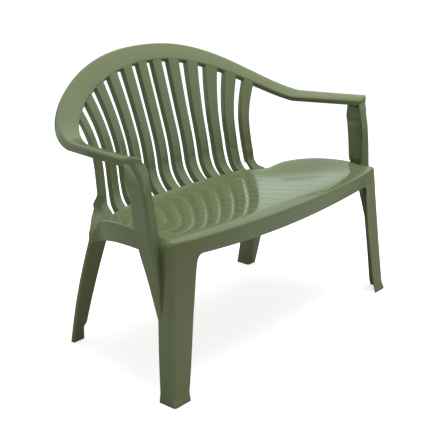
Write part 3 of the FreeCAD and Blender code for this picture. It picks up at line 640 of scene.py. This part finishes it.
# %% Stations of the leg
Station = namedtuple("Station", "inner outer inner_web outer_web tilt splay")
HEIGHTS_AND_STEPS = ((0.2, 0.0), (4.0, 0.0), (15.0, 0.3), (30.0, 0.65), (46.0, 1.0), (54.0, 0.4),
                     (62.0, 0.0), (90.0, 0.0), (150.0, 0.0), (230.0, 0.0), (300.0, 0.0))
FLAT_FOOT, REAR_LEG_TOP = 4.0, 352.0
REAR_FOOT_Y, REAR_LEAN = 508.0, 0.23
REAR_FOOT_EDGES, REAR_TOP_EDGES = (414.0, 458.0), (369.0, 441.0)
REAR_FOOT_WEBS, REAR_TOP_WEBS = (54.0, 13.0), (58.0, 9.0)
INNER_EDGE_POWER, INNER_WEB_POWER = 1.5, 0.5
STACKING_STEP, OUTER_BELLY = 9.0, 9.0


def leg_station(z, step):
    """Station of the straight leg; step is the share of the stacking step at that height."""
    share = max(z, FLAT_FOOT) / REAR_LEG_TOP
    y = REAR_FOOT_Y - REAR_LEAN * z
    inner = mix(REAR_FOOT_EDGES[0], REAR_TOP_EDGES[0], share ** INNER_EDGE_POWER)
    outer = mix(REAR_FOOT_EDGES[1], REAR_TOP_EDGES[1], share)
    return Station(at(inner + STACKING_STEP * step, y, z),
                   at(outer + OUTER_BELLY * math.sin(math.pi * share), y, z),
                   mix(REAR_FOOT_WEBS[0], REAR_TOP_WEBS[0], share ** INNER_WEB_POWER),
                   mix(REAR_FOOT_WEBS[1], REAR_TOP_WEBS[1], share), 0.0, STACKING_STEP * step)


print("edges of the rear foot:", leg_station(*HEIGHTS_AND_STEPS[0])[:2])

# %% [markdown]
# ## The shoulder and the end slat
#
# In the shoulder the face of the leg swings inwards and its outer web grows out of the rim.
# Its sections were worked out one by one from the photograph. Each says the height of the outer
# edge, the inner edge, the outer edge in plan, and the depths of the inner and the outer web.

# %% Rear legs with the end slats
SHOULDER = [(352.0, (369.0, 427.0, 352.0), (441.0, 427.0), 58.0, 9.0),
            (366.0, (366.0, 427.0, 364.0), (438.5, 426.0), 50.0, 13.0),
            (375.5, (360.0, 427.0, 376.0), (432.0, 425.0), 42.0, 17.0),
            (386.0, (353.0, 428.0, 388.0), (422.0, 424.5), 34.0, 24.0),
            (395.5, (347.0, 430.0, 399.0), (411.0, 426.5), 26.0, 31.0),
            (403.5, (343.0, 433.0, 406.0), (397.5, 432.0), 20.0, 37.0),
            (410.0, (341.0, 437.0, 410.5), (385.5, 438.0), 18.0, 39.0),
            (417.0, (341.0, 442.5, 416.0), (377.5, 442.0), 18.0, 40.0)]
END_SLAT_START = 425.0
END_SLAT_SHARES = (0.0, 0.025, 0.05, 0.08, 0.12, 0.17, 0.23, 0.32, 0.44, 0.58, 0.72, 0.86, 1.0)
END_INNER_WEB, END_OUTER_WEBS = 18.0, (39.0, 16.0)
WEB_SHARE, TILT_SHARE = 0.19, 0.05
LEG_EDGE_RADIUS, LEG_STEPS = 4.0, 3


def length_at(z):
    """Length up the back at a height in the cove."""
    return COVE * math.acos(1.0 - (z - LOW_HEIGHT) / COVE)


def rear_leg_rows():
    stations = [leg_station(z, step) for z, step in HEIGHTS_AND_STEPS]
    for z, inner, outer, inner_web, outer_web in SHOULDER:
        stations.append(Station(at(*inner), at(*outer, z), inner_web, outer_web, 0.0, 0.0))
    edges_x = slat_edges(HALF_SLATS)
    tops = [top_length(x) for x in edges_x]
    for share in END_SLAT_SHARES:
        lengths = [mix(length_at(END_SLAT_START), top, share) for top in tops]
        inner, outer = [back_point(x, length) for x, length in zip(edges_x, lengths)]
        outer_web = mix(*END_OUTER_WEBS, ease(share / WEB_SHARE))
        tilt = flange_tilt(lengths[0]) * ease(share / TILT_SHARE)
        stations.append(Station(inner, outer, END_INNER_WEB, outer_web, tilt, 0.0))
    rows = [slat_row((one.inner, one.outer), (one.inner_web, one.outer_web), LEG_EDGE_RADIUS,
                     (one.tilt, 0.0), one.splay) for one in stations]
    return smooth_rows(rows, LEG_STEPS)


rear_rows = rear_leg_rows()
sheet("leg_and_slat_right", [rear_rows], WALL, FRONT, ["leg_rear_right", "slat_12"])
sheet("leg_and_slat_left", [mirrored_rows(rear_rows)], WALL, FRONT, ["leg_rear_left", "slat_01"])

# %% [markdown]
# ## The arm posts
#
# A post is an angle that stands on the outside of the front corner: a narrow strip faces the
# front and a wide web faces the side. It fades out on the leg below the seat, and at the top it
# widens into the front of the arm.

# %% Section of an angle
STRIP_PARTS, CORNER_TURNS = 4, 6
CORNER_POINT = STRIP_PARTS + CORNER_TURNS // 2


def angle_row(x, y, z, width, depth, turn, lean, radius):
    """Section of an angle: front strip, corner, side web; turn and lean are in degrees."""
    turn, lean = math.radians(turn), math.radians(lean)
    strip = at(-math.cos(turn), -math.sin(turn), 0.0)
    square = at(-math.sin(turn), math.cos(turn), 0.0)
    web = square * math.cos(lean) + strip * math.sin(lean)
    corner = at(x, y, z)
    return bend([corner + strip * width, corner, corner + web * depth], [radius], CORNER_TURNS,
                STRIP_PARTS)


print("corner point of an angle:", CORNER_POINT)

# %% [markdown]
# ## Where a post becomes the arm
#
# On the real bench a post runs into its arm without a joint. So its rows run on through four
# wider sections and end on the arm's own first row, and posts, arms and rail are welded into
# one sheet. Two crossing meshes with a bevel would look stuck on.
#
# POST lists height, corner in plan, strip, web, turn and lean of each section. HEAD lists
# height, inner edge, corner, rear edge and corner radius. Both come from the photograph.

# %% Arm posts and the rail's sheet
POST = [(227.0, 531.0, 62.0, 12.0, 10.0, 0.0, 6.0),
        (285.0, 533.0, 65.0, 22.0, 25.0, -4.0, 8.0),
        (337.0, 535.0, 67.0, 32.0, 40.0, -6.0, 10.0),
        (400.0, 541.0, 74.0, 42.0, 56.0, -8.0, 15.0),
        (443.0, 544.5, 79.5, 46.0, 71.0, -9.0, 21.0),
        (462.0, 545.5, 81.5, 40.0, 76.0, -10.0, 23.5),
        (512.0, 547.5, 86.0, 38.0, 77.0, -10.0, 23.5),
        (565.0, 549.5, 92.5, 35.0, 78.0, -10.0, 23.5),
        (585.0, 550.0, 95.5, 35.5, 79.0, -11.0, 23.0)]
HEAD = [(603.0, (514.3, 106.0), (551.5, 98.6), (533.5, 176.0), 15.0),
        (622.0, (514.9, 110.0), (558.0, 103.0), (535.0, 176.5), 20.0),
        (638.0, (516.5, 114.0), (566.0, 107.5), (537.5, 177.0), 25.0),
        (647.0, (520.0, 116.5), (571.5, 112.0), (540.0, 177.0), 29.0)]
POST_RADII, POST_REACH = (2.0, 12.0), 600.0
NOSE_FACE = slice(11, 27)
TUCKED_EDGE = at(543.0, 177.0, 664.0)
FRONT_POINTS, TUCKED_POINTS = 8, 8
POST_STEPS = 4


def post_with_head():
    """Rows from the front leg up the post and on into the front of the arm."""
    nose = right_rail[0][::-1][NOSE_FACE]
    front = nose + [mix(nose[-1], TUCKED_EDGE, share)
                    for share in spread(0.0, 1.0, TUCKED_POINTS + 1)[1:]]
    sections = [angle_row(x, y, z, strip, web, turn, lean, mix(*POST_RADII, z / POST_REACH))
                for z, x, y, strip, web, turn, lean in POST]
    sections += [bend([at(*inner, z), at(*corner, z), at(*rear, z)], [radius], CORNER_TURNS,
                      STRIP_PARTS) for z, inner, corner, rear, radius in HEAD]
    rows = [along(section[:CORNER_POINT + 1], FRONT_POINTS + 1)[:-1]
            + along(section[CORNER_POINT:], len(front) - FRONT_POINTS) for section in sections]
    return smooth_rows(rows + [front], POST_STEPS)


right_post = post_with_head()
sheet("rail_arms_and_posts", [right_rail + left_rail, right_post, mirrored_rows(right_post)],
      WALL, TOP, ["back_rail", "arm_left", "arm_right", "arm_post_left", "arm_post_right"])

# %% [markdown]
# ## The seat with its aprons and front legs
#
# The seat is dished, its edge rolls over into the aprons, and at the front corners the apron
# runs down as the legs. One grid over the whole would pinch at the corners, so the seat is
# filled between its four border lines, and a skirt of columns goes down from the border.
# The legs hang from the skirt's lowest row.
#
# The front leg comes first. It is an angle with a large round corner. Its front web widens
# upwards and is rounded into the apron, and its foot flares a little outwards. JOIN is the
# height at which it meets the lowest row of the skirt.

# %% Sections of a front leg
JOIN = 401.0
APRON_LOW, APRON_FILLET = 377.0, 18.0
FLARE, FLARE_TOP = 4.0, 25.0
FRONT_WEBS, FRONT_WEB_POWER, SIDE_WEB = (58.0, 92.0), 0.85, 54.0
CORNER_HALVES, CORNER_SETBACK = (547.0, 517.0), 41.0
LEG_RADII, LEG_RADIUS_POWER = (7.0, 22.0), 0.5
LEG_TURN = [(0.0, 0.0), (25.0, 0.0), (85.0, 1.0), (150.0, 2.0), (231.0, 3.0), (355.0, 7.0),
            (392.0, 10.0), (447.0, 10.0)]
LEG_LEAN = [(0.0, 0.0), (85.0, 0.0), (150.0, -1.0), (231.0, -4.0), (355.0, -11.0), (383.0, -11.0),
            (392.0, -10.0), (447.0, -8.0)]


def between(table, z):
    """Read a value from a table of heights and values."""
    for (low, first), (high, last) in zip(table, table[1:]):
        if z <= high:
            return mix(first, last, max(z - low, 0.0) / (high - low))
    return table[-1][1]


def apron_fillet(z):
    """Width that the round under the apron adds to the leg's front web."""
    below = max(JOIN - z, 0.0)
    if below >= APRON_FILLET:
        return 0.0
    return APRON_FILLET - math.sqrt(APRON_FILLET ** 2 - (APRON_FILLET - below) ** 2)


def leg_row(z):
    """Section of the right front leg, from its front web round to the back."""
    share = (z - FLARE_TOP) / (APRON_LOW - FLARE_TOP)
    above = max(z, FLAT_FOOT)
    width = mix(*FRONT_WEBS, max(share, 0.0) ** FRONT_WEB_POWER) + apron_fillet(z)
    flare = FLARE * (1.0 - min((above - FLAT_FOOT) / (FLARE_TOP - FLAT_FOOT), 1.0))
    half = mix(*CORNER_HALVES, above / SEAT_TOP) + flare
    depth = CORNER_SETBACK * above / SEAT_TOP - flare
    turn = between(LEG_TURN, z)
    radius = mix(*LEG_RADII, (above / SEAT_TOP) ** LEG_RADIUS_POWER)
    return angle_row(half, depth, z, width + flare, SIDE_WEB + flare, turn,
                     -(turn + between(LEG_LEAN, z)), radius)


print("leg section points", len(leg_row(JOIN)))

# %% [markdown]
# ## The border of the seat
#
# The border is a row of columns. Each column knows its sharp corner under the seat's edge, the
# foot of the apron and the width of the roll between seat and apron.
# The columns of the leg come from the leg's own section, so the apron turns into the leg.
# The roll is tight along the front and soft along the sides.

# %% Columns of the right half of the border
Column = namedtuple("Column", "corner foot roll")
FRONT_COLUMNS, SIDE_COLUMNS = 24, 36
TIGHT_ROLL, SOFT_ROLL = 4.0, 22.0
APRON_DEPTH, APRON_RISE, APRON_SPAN = 20.0, 20.0, 386.0
SOFT_FROM_X, SOFT_X_SPAN = 488.0, 24.0
SOFT_FROM_Y, SOFT_Y_SPAN = 38.0, 30.0
SIDE_END_Y, SIDE_SPACING = 425.0, 1.35
FADE_SPAN = 60.0
TURN_SPAN, TURN_OUT = 40.0, 9.0
FOOT_TURN_FROM, FOOT_TURN_SPAN, FOOT_TURN_OUT = 360.0, 60.0, 10.0
SIDE_APRON_LOW, REAR_APRON_LOW, APRON_DROP_POWER = 402.0, 340.0, 3


def apron_foot(x):
    return at(x, APRON_DEPTH, APRON_LOW + APRON_RISE * (x / APRON_SPAN) ** 2)


def side_column(share, last_top, last_foot):
    """Column of the side, at a share of the way from the front leg to the rear leg."""
    y = mix(last_top.y, SIDE_END_Y, 1.0 - (1.0 - share) ** SIDE_SPACING)
    fade = 1.0 - ease((y - last_top.y) / FADE_SPAN)
    turned = ease((y - (SIDE_END_Y - TURN_SPAN)) / TURN_SPAN)
    x = side_half(y) + (last_top.x - side_half(last_top.y)) * fade + TURN_OUT * turned
    foot_x = (x + (last_foot.x - last_top.x) * fade
              + FOOT_TURN_OUT * ease((y - FOOT_TURN_FROM) / FOOT_TURN_SPAN))
    low = mix(SIDE_APRON_LOW, REAR_APRON_LOW, side_share(y) ** APRON_DROP_POWER)
    roll = mix(TIGHT_ROLL, SOFT_ROLL, max(fade, turned))
    return Column(at(x, y, 0.0), at(foot_x, y, low), roll)


def border_columns():
    """Columns from the middle of the front round to the rear leg."""
    top, foot = leg_row(SEAT_TOP), leg_row(JOIN)
    top[0] = at(foot[0].x, front_edge(foot[0].x), SEAT_TOP)
    result = [Column(at(x, front_edge(x), 0.0), apron_foot(x), TIGHT_ROLL)
              for x in spread(0.0, foot[0].x, FRONT_COLUMNS + 1)[:-1]]
    for high, low in zip(top, foot):
        soft = (ease((high.x - SOFT_FROM_X) / SOFT_X_SPAN)
                * ease((high.y - SOFT_FROM_Y) / SOFT_Y_SPAN))
        result.append(Column(at(high.x, high.y, 0.0), low, mix(TIGHT_ROLL, SOFT_ROLL, soft)))
    return result + [side_column(share, top[-1], foot[-1])
                     for share in spread(0.0, 1.0, SIDE_COLUMNS)[1:]]


columns = border_columns()
corner_index = FRONT_COLUMNS + CORNER_POINT
print("columns of the border", len(columns), "corner column", corner_index)

# %% [markdown]
# ## Skirt and roll of the edge
#
# Each column becomes a line of points that starts just inside the seat, passes its crease,
# rolls over and hangs down to the foot of the apron. A bevel modifier on a sharp edge could not
# change its width along the border as these lines do.

# %% Skirt and roll of the edge
ROLL_DROP, ROLL_RADIUS, CREASE_RADIUS = 0.7, 0.6, 1.0
INSIDE_STEP = 2.0
ROLL_TURNS, APRON_PARTS = 4, 6
border_line = [column.corner for column in columns]


def inward(index):
    """Unit vector into the seat at a column."""
    before = border_line[max(index - 1, 0)]
    after = border_line[min(index + 1, len(border_line) - 1)]
    direction = at(after.x - before.x, after.y - before.y, 0.0)
    if index == 0:
        direction = at(1.0, 0.0, 0.0)
    return at(-direction.y, direction.x, 0.0).normalized()


def skirt_line(index):
    """Points of one column, from the seat over the roll to the apron's foot."""
    corner, foot, width = columns[index]
    into = inward(index)
    rim = corner + into * width
    rim.z = seat_height(rim.x, rim.y)
    inside = rim + into * INSIDE_STEP
    inside.z = seat_height(inside.x, inside.y)
    roll = at(corner.x, corner.y, rim.z - ROLL_DROP * width)
    *points, roll_end, apron_end = bend([inside, rim, roll, foot],
                                        [CREASE_RADIUS, ROLL_RADIUS * width], ROLL_TURNS, 1)
    return points + [mix(roll_end, apron_end, part / APRON_PARTS)
                     for part in range(APRON_PARTS + 1)]


right_skirt = [skirt_line(index) for index in range(len(columns))]
skirt = mirrored_rows(reversed(right_skirt[1:])) + right_skirt
print("columns of the whole skirt:", len(skirt))

# %% [markdown]
# ## Filling the seat
#
# The four border lines are blended into each other: the plan of every inner point is the sum
# of two straight blends less the blend of the four corners. Its height then comes from the
# seat's own formula. The grid fill operator makes a like patch, but not on the dish.

# %% Seat between its border lines
REAR_CORNER_POWER = 12


def blended_seat():
    """Rows of the seat from the front border to the slot ends."""
    inner_line = [line[0] for line in right_skirt]
    front_half, side = inner_line[:corner_index + 1], inner_line[corner_index:]
    front = [mirrored(point) for point in reversed(front_half[1:])] + front_half
    reach = side[-1].x
    rear = []
    for point in front:
        x = point.x / front[-1].x * reach
        turned = (abs(x) / reach) ** REAR_CORNER_POWER
        rear.append(at(x, mix(rear_edge(x), side[-1].y, turned), 0.0))
    rows = []
    for b, right in zip(spread(0.0, 1.0, len(side)), side):
        row = []
        for a, near, far in zip(spread(0.0, 1.0, len(front)), front, rear):
            lengthwise = near * (1 - b) + far * b
            crosswise = mirrored(right) * (1 - a) + right * a
            corners = ((front[0] * (1 - a) + front[-1] * a) * (1 - b)
                       + (rear[0] * (1 - a) + rear[-1] * a) * b)
            point = lengthwise + crosswise - corners
            point.z = seat_height(point.x, point.y)
            row.append(point)
        rows.append(row)
    return rows


seat_rows = blended_seat()
print("seat grid:", len(seat_rows), "by", len(seat_rows[0]))

# %% [markdown]
# ## Closing the rear corners
#
# Between the last column of the skirt, the end of the seat and the shoulder of the rear leg
# there would be a gap, which shows from behind. One strip joins the skirt to the shoulder, and
# another tucks the seat's corner in behind the end slat.

# %% Joints at the rear shoulders
SHOULDER_EDGE = [at(406.0, 427.0, 394.0), at(411.0, 427.5, 394.5), at(422.0, 427.0, 385.5),
                 at(431.5, 427.5, 375.0), at(438.0, 428.5, 366.0), at(440.8, 429.5, 352.0),
                 at(441.8, 431.0, 340.0)]
TUCK_FROM_X, TUCK = 345.0, at(0.0, 13.0, -4.0)

joint = [right_skirt[-1], along(SHOULDER_EDGE, len(right_skirt[-1]))]
corner_edge = [point for point in seat_rows[-1] if point.x > TUCK_FROM_X]
tuck = [corner_edge, [point + TUCK for point in corner_edge]]
print("points of a tuck:", len(corner_edge))

# %% [markdown]
# ## Legs under the skirt
#
# The leg's sections start at the skirt's lowest row and go down to the ground. They lie closer
# together under the apron, where the fillet turns, and at the foot, where it flares.
# All the patches then become one sheet.

# %% Seat, aprons and front legs
FRONT_LEG_HEIGHTS = (JOIN, 399.0, 396.0, 392.0, 388.0, 383.0, 370.0, 350.0, 320.0, 290.0, 260.0,
                     231.0, 200.0, 170.0, 140.0, 110.0, 85.0, 60.0, 42.0, 30.0, 25.0, 20.0, 12.0,
                     4.0, 0.0)
leg_rows = [leg_row(z) for z in FRONT_LEG_HEIGHTS]
seat = sheet("seat_and_front_legs",
             [seat_rows, skirt, leg_rows, mirrored_rows(leg_rows), joint, mirrored_rows(joint),
              tuck, mirrored_rows(tuck)], WALL, TOP,
             ["seat_panel", "front_apron", "side_apron_left", "side_apron_right",
              "leg_front_left", "leg_front_right"])

# %% [markdown]
# ## Nodes that read like maths
#
# A material's maths could be added node by node. Python expressions on sockets are easier to
# read, and one small class makes them possible. One function makes any other node.

# %% A socket that does maths
class Wire:
    """A shader socket that takes part in Python expressions."""

    def __init__(self, tree, socket):
        self.tree = tree
        self.socket = socket

    def maths(self, operation, first, second):
        return node(self.tree, "ShaderNodeMath", {"operation": operation}, {0: first, 1: second})

    def __add__(self, other):
        return self.maths("ADD", self, other)

    def __sub__(self, other):
        return self.maths("SUBTRACT", self, other)

    def __rsub__(self, other):
        return self.maths("SUBTRACT", other, self)

    def __mul__(self, other):
        return self.maths("MULTIPLY", self, other)

    def __pow__(self, other):
        return self.maths("POWER", self, other)

    __radd__ = __add__
    __rmul__ = __mul__


def node(tree, kind, settings=None, inputs=None, output=0):
    """Add a node, set it, feed it and return its output as a Wire."""
    made = tree.nodes.new(kind)
    for name, value in (settings or {}).items():
        setattr(made, name, value)
    for name, value in (inputs or {}).items():
        if isinstance(value, Wire):
            tree.links.new(value.socket, made.inputs[name])
        else:
            made.inputs[name].default_value = value
    return Wire(tree, made.outputs[output])


def two_tones(tree, share, first, second):
    """Colour between two tones; a Mix node's colours are sockets 6 and 7, and output 2."""
    return node(tree, "ShaderNodeMix", {"data_type": "RGBA"},
                {0: share, 6: (*first, 1.0), 7: (*second, 1.0)}, output=2)


print("a socket knows +, -, * and **")

# %% [markdown]
# ## The plastic
#
# Polypropylene has its colour all the way through, a soft gloss and a very fine grain.
# A large noise shifts the colour and the gloss a little, and a fine one tilts the light.
# The seat also has fine flutes from front to back at the pitch of the slats. They are duller
# than the face between them and show as thin lines where it mirrors the light. They are far
# less than a millimetre deep, so they are in the material and not in the mesh. A power of the
# surface's upward direction keeps them off the aprons.

# %% Sage green polypropylene
DARK_SAGE, LIGHT_SAGE = (0.128, 0.150, 0.070), (0.150, 0.174, 0.083)
CLOUD_SCALE, CLOUD_DETAIL = 6.0, 3.0
GRAIN_SCALE, GRAIN_DETAIL, GRAIN_DEPTH = 900.0, 2.0, 0.00004
GLOSS, GLOSS_SHIFT = 0.08, 0.05
FLUTE_PITCH, FLUTE_DEPTH = SLAT_PITCH / MM_IN_M, 0.00015
FLUTE_SHARPNESS, FLUTE_DULLNESS, LEVEL_SHARPNESS = 40.0, 0.32, 8.0
SPECULAR_LEVEL, PLASTIC_IOR = 0.5, 1.5


def flute_mask(tree, place_on):
    """1 in the middle of a flute, 0 between the flutes and off the level face."""
    across = node(tree, "ShaderNodeSeparateXYZ", {}, {0: place_on}, output="X")
    facing = node(tree, "ShaderNodeTexCoord", output="Normal")
    upward = node(tree, "ShaderNodeSeparateXYZ", {}, {0: facing}, output="Z")
    wave = node(tree, "ShaderNodeMath", {"operation": "COSINE"},
                {0: across * (2.0 * math.pi / FLUTE_PITCH)})
    return (wave * 0.5 + 0.5) ** FLUTE_SHARPNESS * upward ** LEVEL_SHARPNESS


def plastic(name, flutes):
    """A glossy moulded plastic, with or without the seat's flutes."""
    material = bpy.data.materials.new(name)
    material.use_nodes = True
    tree = material.node_tree
    shader = tree.nodes["Principled BSDF"]
    place_on = node(tree, "ShaderNodeTexCoord", output="Object")
    cloud = node(tree, "ShaderNodeTexNoise", {},
                 {"Vector": place_on, "Scale": CLOUD_SCALE, "Detail": CLOUD_DETAIL})
    grain = node(tree, "ShaderNodeTexNoise", {},
                 {"Vector": place_on, "Scale": GRAIN_SCALE, "Detail": GRAIN_DETAIL})
    colour = two_tones(tree, cloud, DARK_SAGE, LIGHT_SAGE)
    tree.links.new(colour.socket, shader.inputs["Base Color"])
    rough = cloud * GLOSS_SHIFT + GLOSS
    relief = grain * GRAIN_DEPTH
    if flutes:
        groove = flute_mask(tree, place_on)
        relief = relief - groove * FLUTE_DEPTH
        rough = rough + groove * FLUTE_DULLNESS
    tree.links.new(rough.socket, shader.inputs["Roughness"])
    bump = node(tree, "ShaderNodeBump", {}, {"Height": relief, "Strength": 1.0, "Distance": 1.0})
    tree.links.new(bump.socket, shader.inputs["Normal"])
    shader.inputs["Specular IOR Level"].default_value = SPECULAR_LEVEL
    shader.inputs["IOR"].default_value = PLASTIC_IOR
    return material


green = plastic("green_polypropylene_plain", flutes=False)
fluted = plastic("green_polypropylene_seat", flutes=True)
for piece in [o for o in bpy.data.objects if o.type == "MESH"]:
    piece.data.materials.clear()
    piece.data.materials.append(fluted if piece is seat else green)
print("materials:", green.name, fluted.name)

# %% [markdown]
# ## The floor
#
# A pale floor runs back to a white sky, as in a catalogue picture. Its shader gives the camera
# some extra glow, so that the floor looks white without a stronger lamp. In the gloss of the
# bench the floor is a dull green, so that its mirror image doesn't wash out the sage.

# %% Floor
FLOOR_SIZE = 30.0
PALE, MIRRORED_FLOOR = (0.9, 0.9, 0.9), (0.45, 0.52, 0.42)
FLOOR_ROUGHNESS, FLOOR_GLOW = 0.9, 0.7


def light_path(tree):
    """Outputs of a Light Path node by their names."""
    path = tree.nodes.new("ShaderNodeLightPath")
    return {socket.name: Wire(tree, socket) for socket in path.outputs}


bm = bmesh.new()
bmesh.ops.create_grid(bm, x_segments=1, y_segments=1, size=FLOOR_SIZE)
floor = mesh_object("floor", bm)
paving = bpy.data.materials.new("pale_floor")
paving.use_nodes = True
tree = paving.node_tree
rays = light_path(tree)
paving_shader = tree.nodes["Principled BSDF"]
tone = two_tones(tree, rays["Is Glossy Ray"], PALE, MIRRORED_FLOOR)
tree.links.new(tone.socket, paving_shader.inputs["Base Color"])
paving_shader.inputs["Roughness"].default_value = FLOOR_ROUGHNESS
paving_shader.inputs["Specular IOR Level"].default_value = 0.0
glow = node(tree, "ShaderNodeEmission", {},
            {"Color": (1.0, 1.0, 1.0, 1.0), "Strength": rays["Is Camera Ray"] * FLOOR_GLOW})
both = node(tree, "ShaderNodeAddShader", {}, {0: Wire(tree, paving_shader.outputs[0]), 1: glow})
tree.links.new(both.socket, tree.nodes["Material Output"].inputs["Surface"])
floor.data.materials.append(paving)
print("floor:", paving.name)

# %% [markdown]
# ## The sky
#
# The white sky is what the gloss mirrors, so it is bright for the camera and for mirrored rays.
# It is weaker for the soft light that it sheds, or the bench would look flat. Its mirror image
# is slightly green, so that the highlights keep the sage tone of the real bench.

# %% Sky
WHITE, MIRRORED_SKY = (1.0, 1.0, 1.0), (0.72, 0.88, 0.78)
SHED_LIGHT, SEEN_LIGHT = 0.38, 1.0

world = bpy.data.worlds.new("white_sky")
bpy.context.scene.world = world
world.use_nodes = True
tree = world.node_tree
rays = light_path(tree)
clear = rays["Is Camera Ray"] + rays["Is Glossy Ray"] + rays["Is Transmission Ray"]
strength = node(tree, "ShaderNodeMix", {"data_type": "FLOAT"},
                {0: clear, 2: SHED_LIGHT, 3: SEEN_LIGHT})
sky = tree.nodes["Background"]
tone = two_tones(tree, rays["Is Glossy Ray"], WHITE, MIRRORED_SKY)
tree.links.new(tone.socket, sky.inputs["Color"])
tree.links.new(strength.socket, sky.inputs["Strength"])
print("sky:", world.name)

# %% [markdown]
# ## The lamp
#
# One large square lamp hangs over the bench and gives the arms and the seat their soft light
# and the legs their shade. It is hidden from the gloss, which would show it as a hard square.

# %% Lamp overhead
LAMP_SPOT, LAMP_AIM = Vector((0.3, -0.2, 3.4)), Vector((0.0, 0.0, 0.4))
LAMP_SIZE, LAMP_POWER = 2.2, 100.0

light = bpy.data.lights.new("overhead", "AREA")
light.shape = "SQUARE"
light.size = LAMP_SIZE
light.energy = LAMP_POWER
lamp = add_object("overhead", light)
lamp.location = LAMP_SPOT
lamp.visible_glossy = False
lamp.rotation_euler = (LAMP_AIM - LAMP_SPOT).to_track_quat("-Z", "Y").to_euler()
print("lamp:", lamp.name)

# %% [markdown]
# ## The camera
#
# The camera stands where the photographer's stood. Its place, its two angles and its focal
# length were worked out from points of the bench in the photograph.

# %% Camera
CAMERA = Vector((-2.0699, -1.7537, 1.2178))
YAW, PITCH = math.radians(49.94), math.radians(18.08)
PHOTO_WIDTH, FOCAL_LENGTH = 435.0, 883.6
SENSOR_WIDTH = 36.0

level = math.cos(PITCH)
look = Vector((math.sin(YAW) * level, math.cos(YAW) * level, -math.sin(PITCH)))
lens = bpy.data.cameras.new("photo_view")
lens.sensor_fit = "HORIZONTAL"
lens.sensor_width = SENSOR_WIDTH
lens.lens = SENSOR_WIDTH * FOCAL_LENGTH / PHOTO_WIDTH
eye = add_object("photo_view", lens)
eye.location = CAMERA
eye.rotation_euler = look.to_track_quat("-Z", "Y").to_euler()
bpy.context.scene.camera = eye
bpy.context.scene.view_settings.view_transform = "Standard"
print("lens in millimetres:", round(lens.lens, 1))
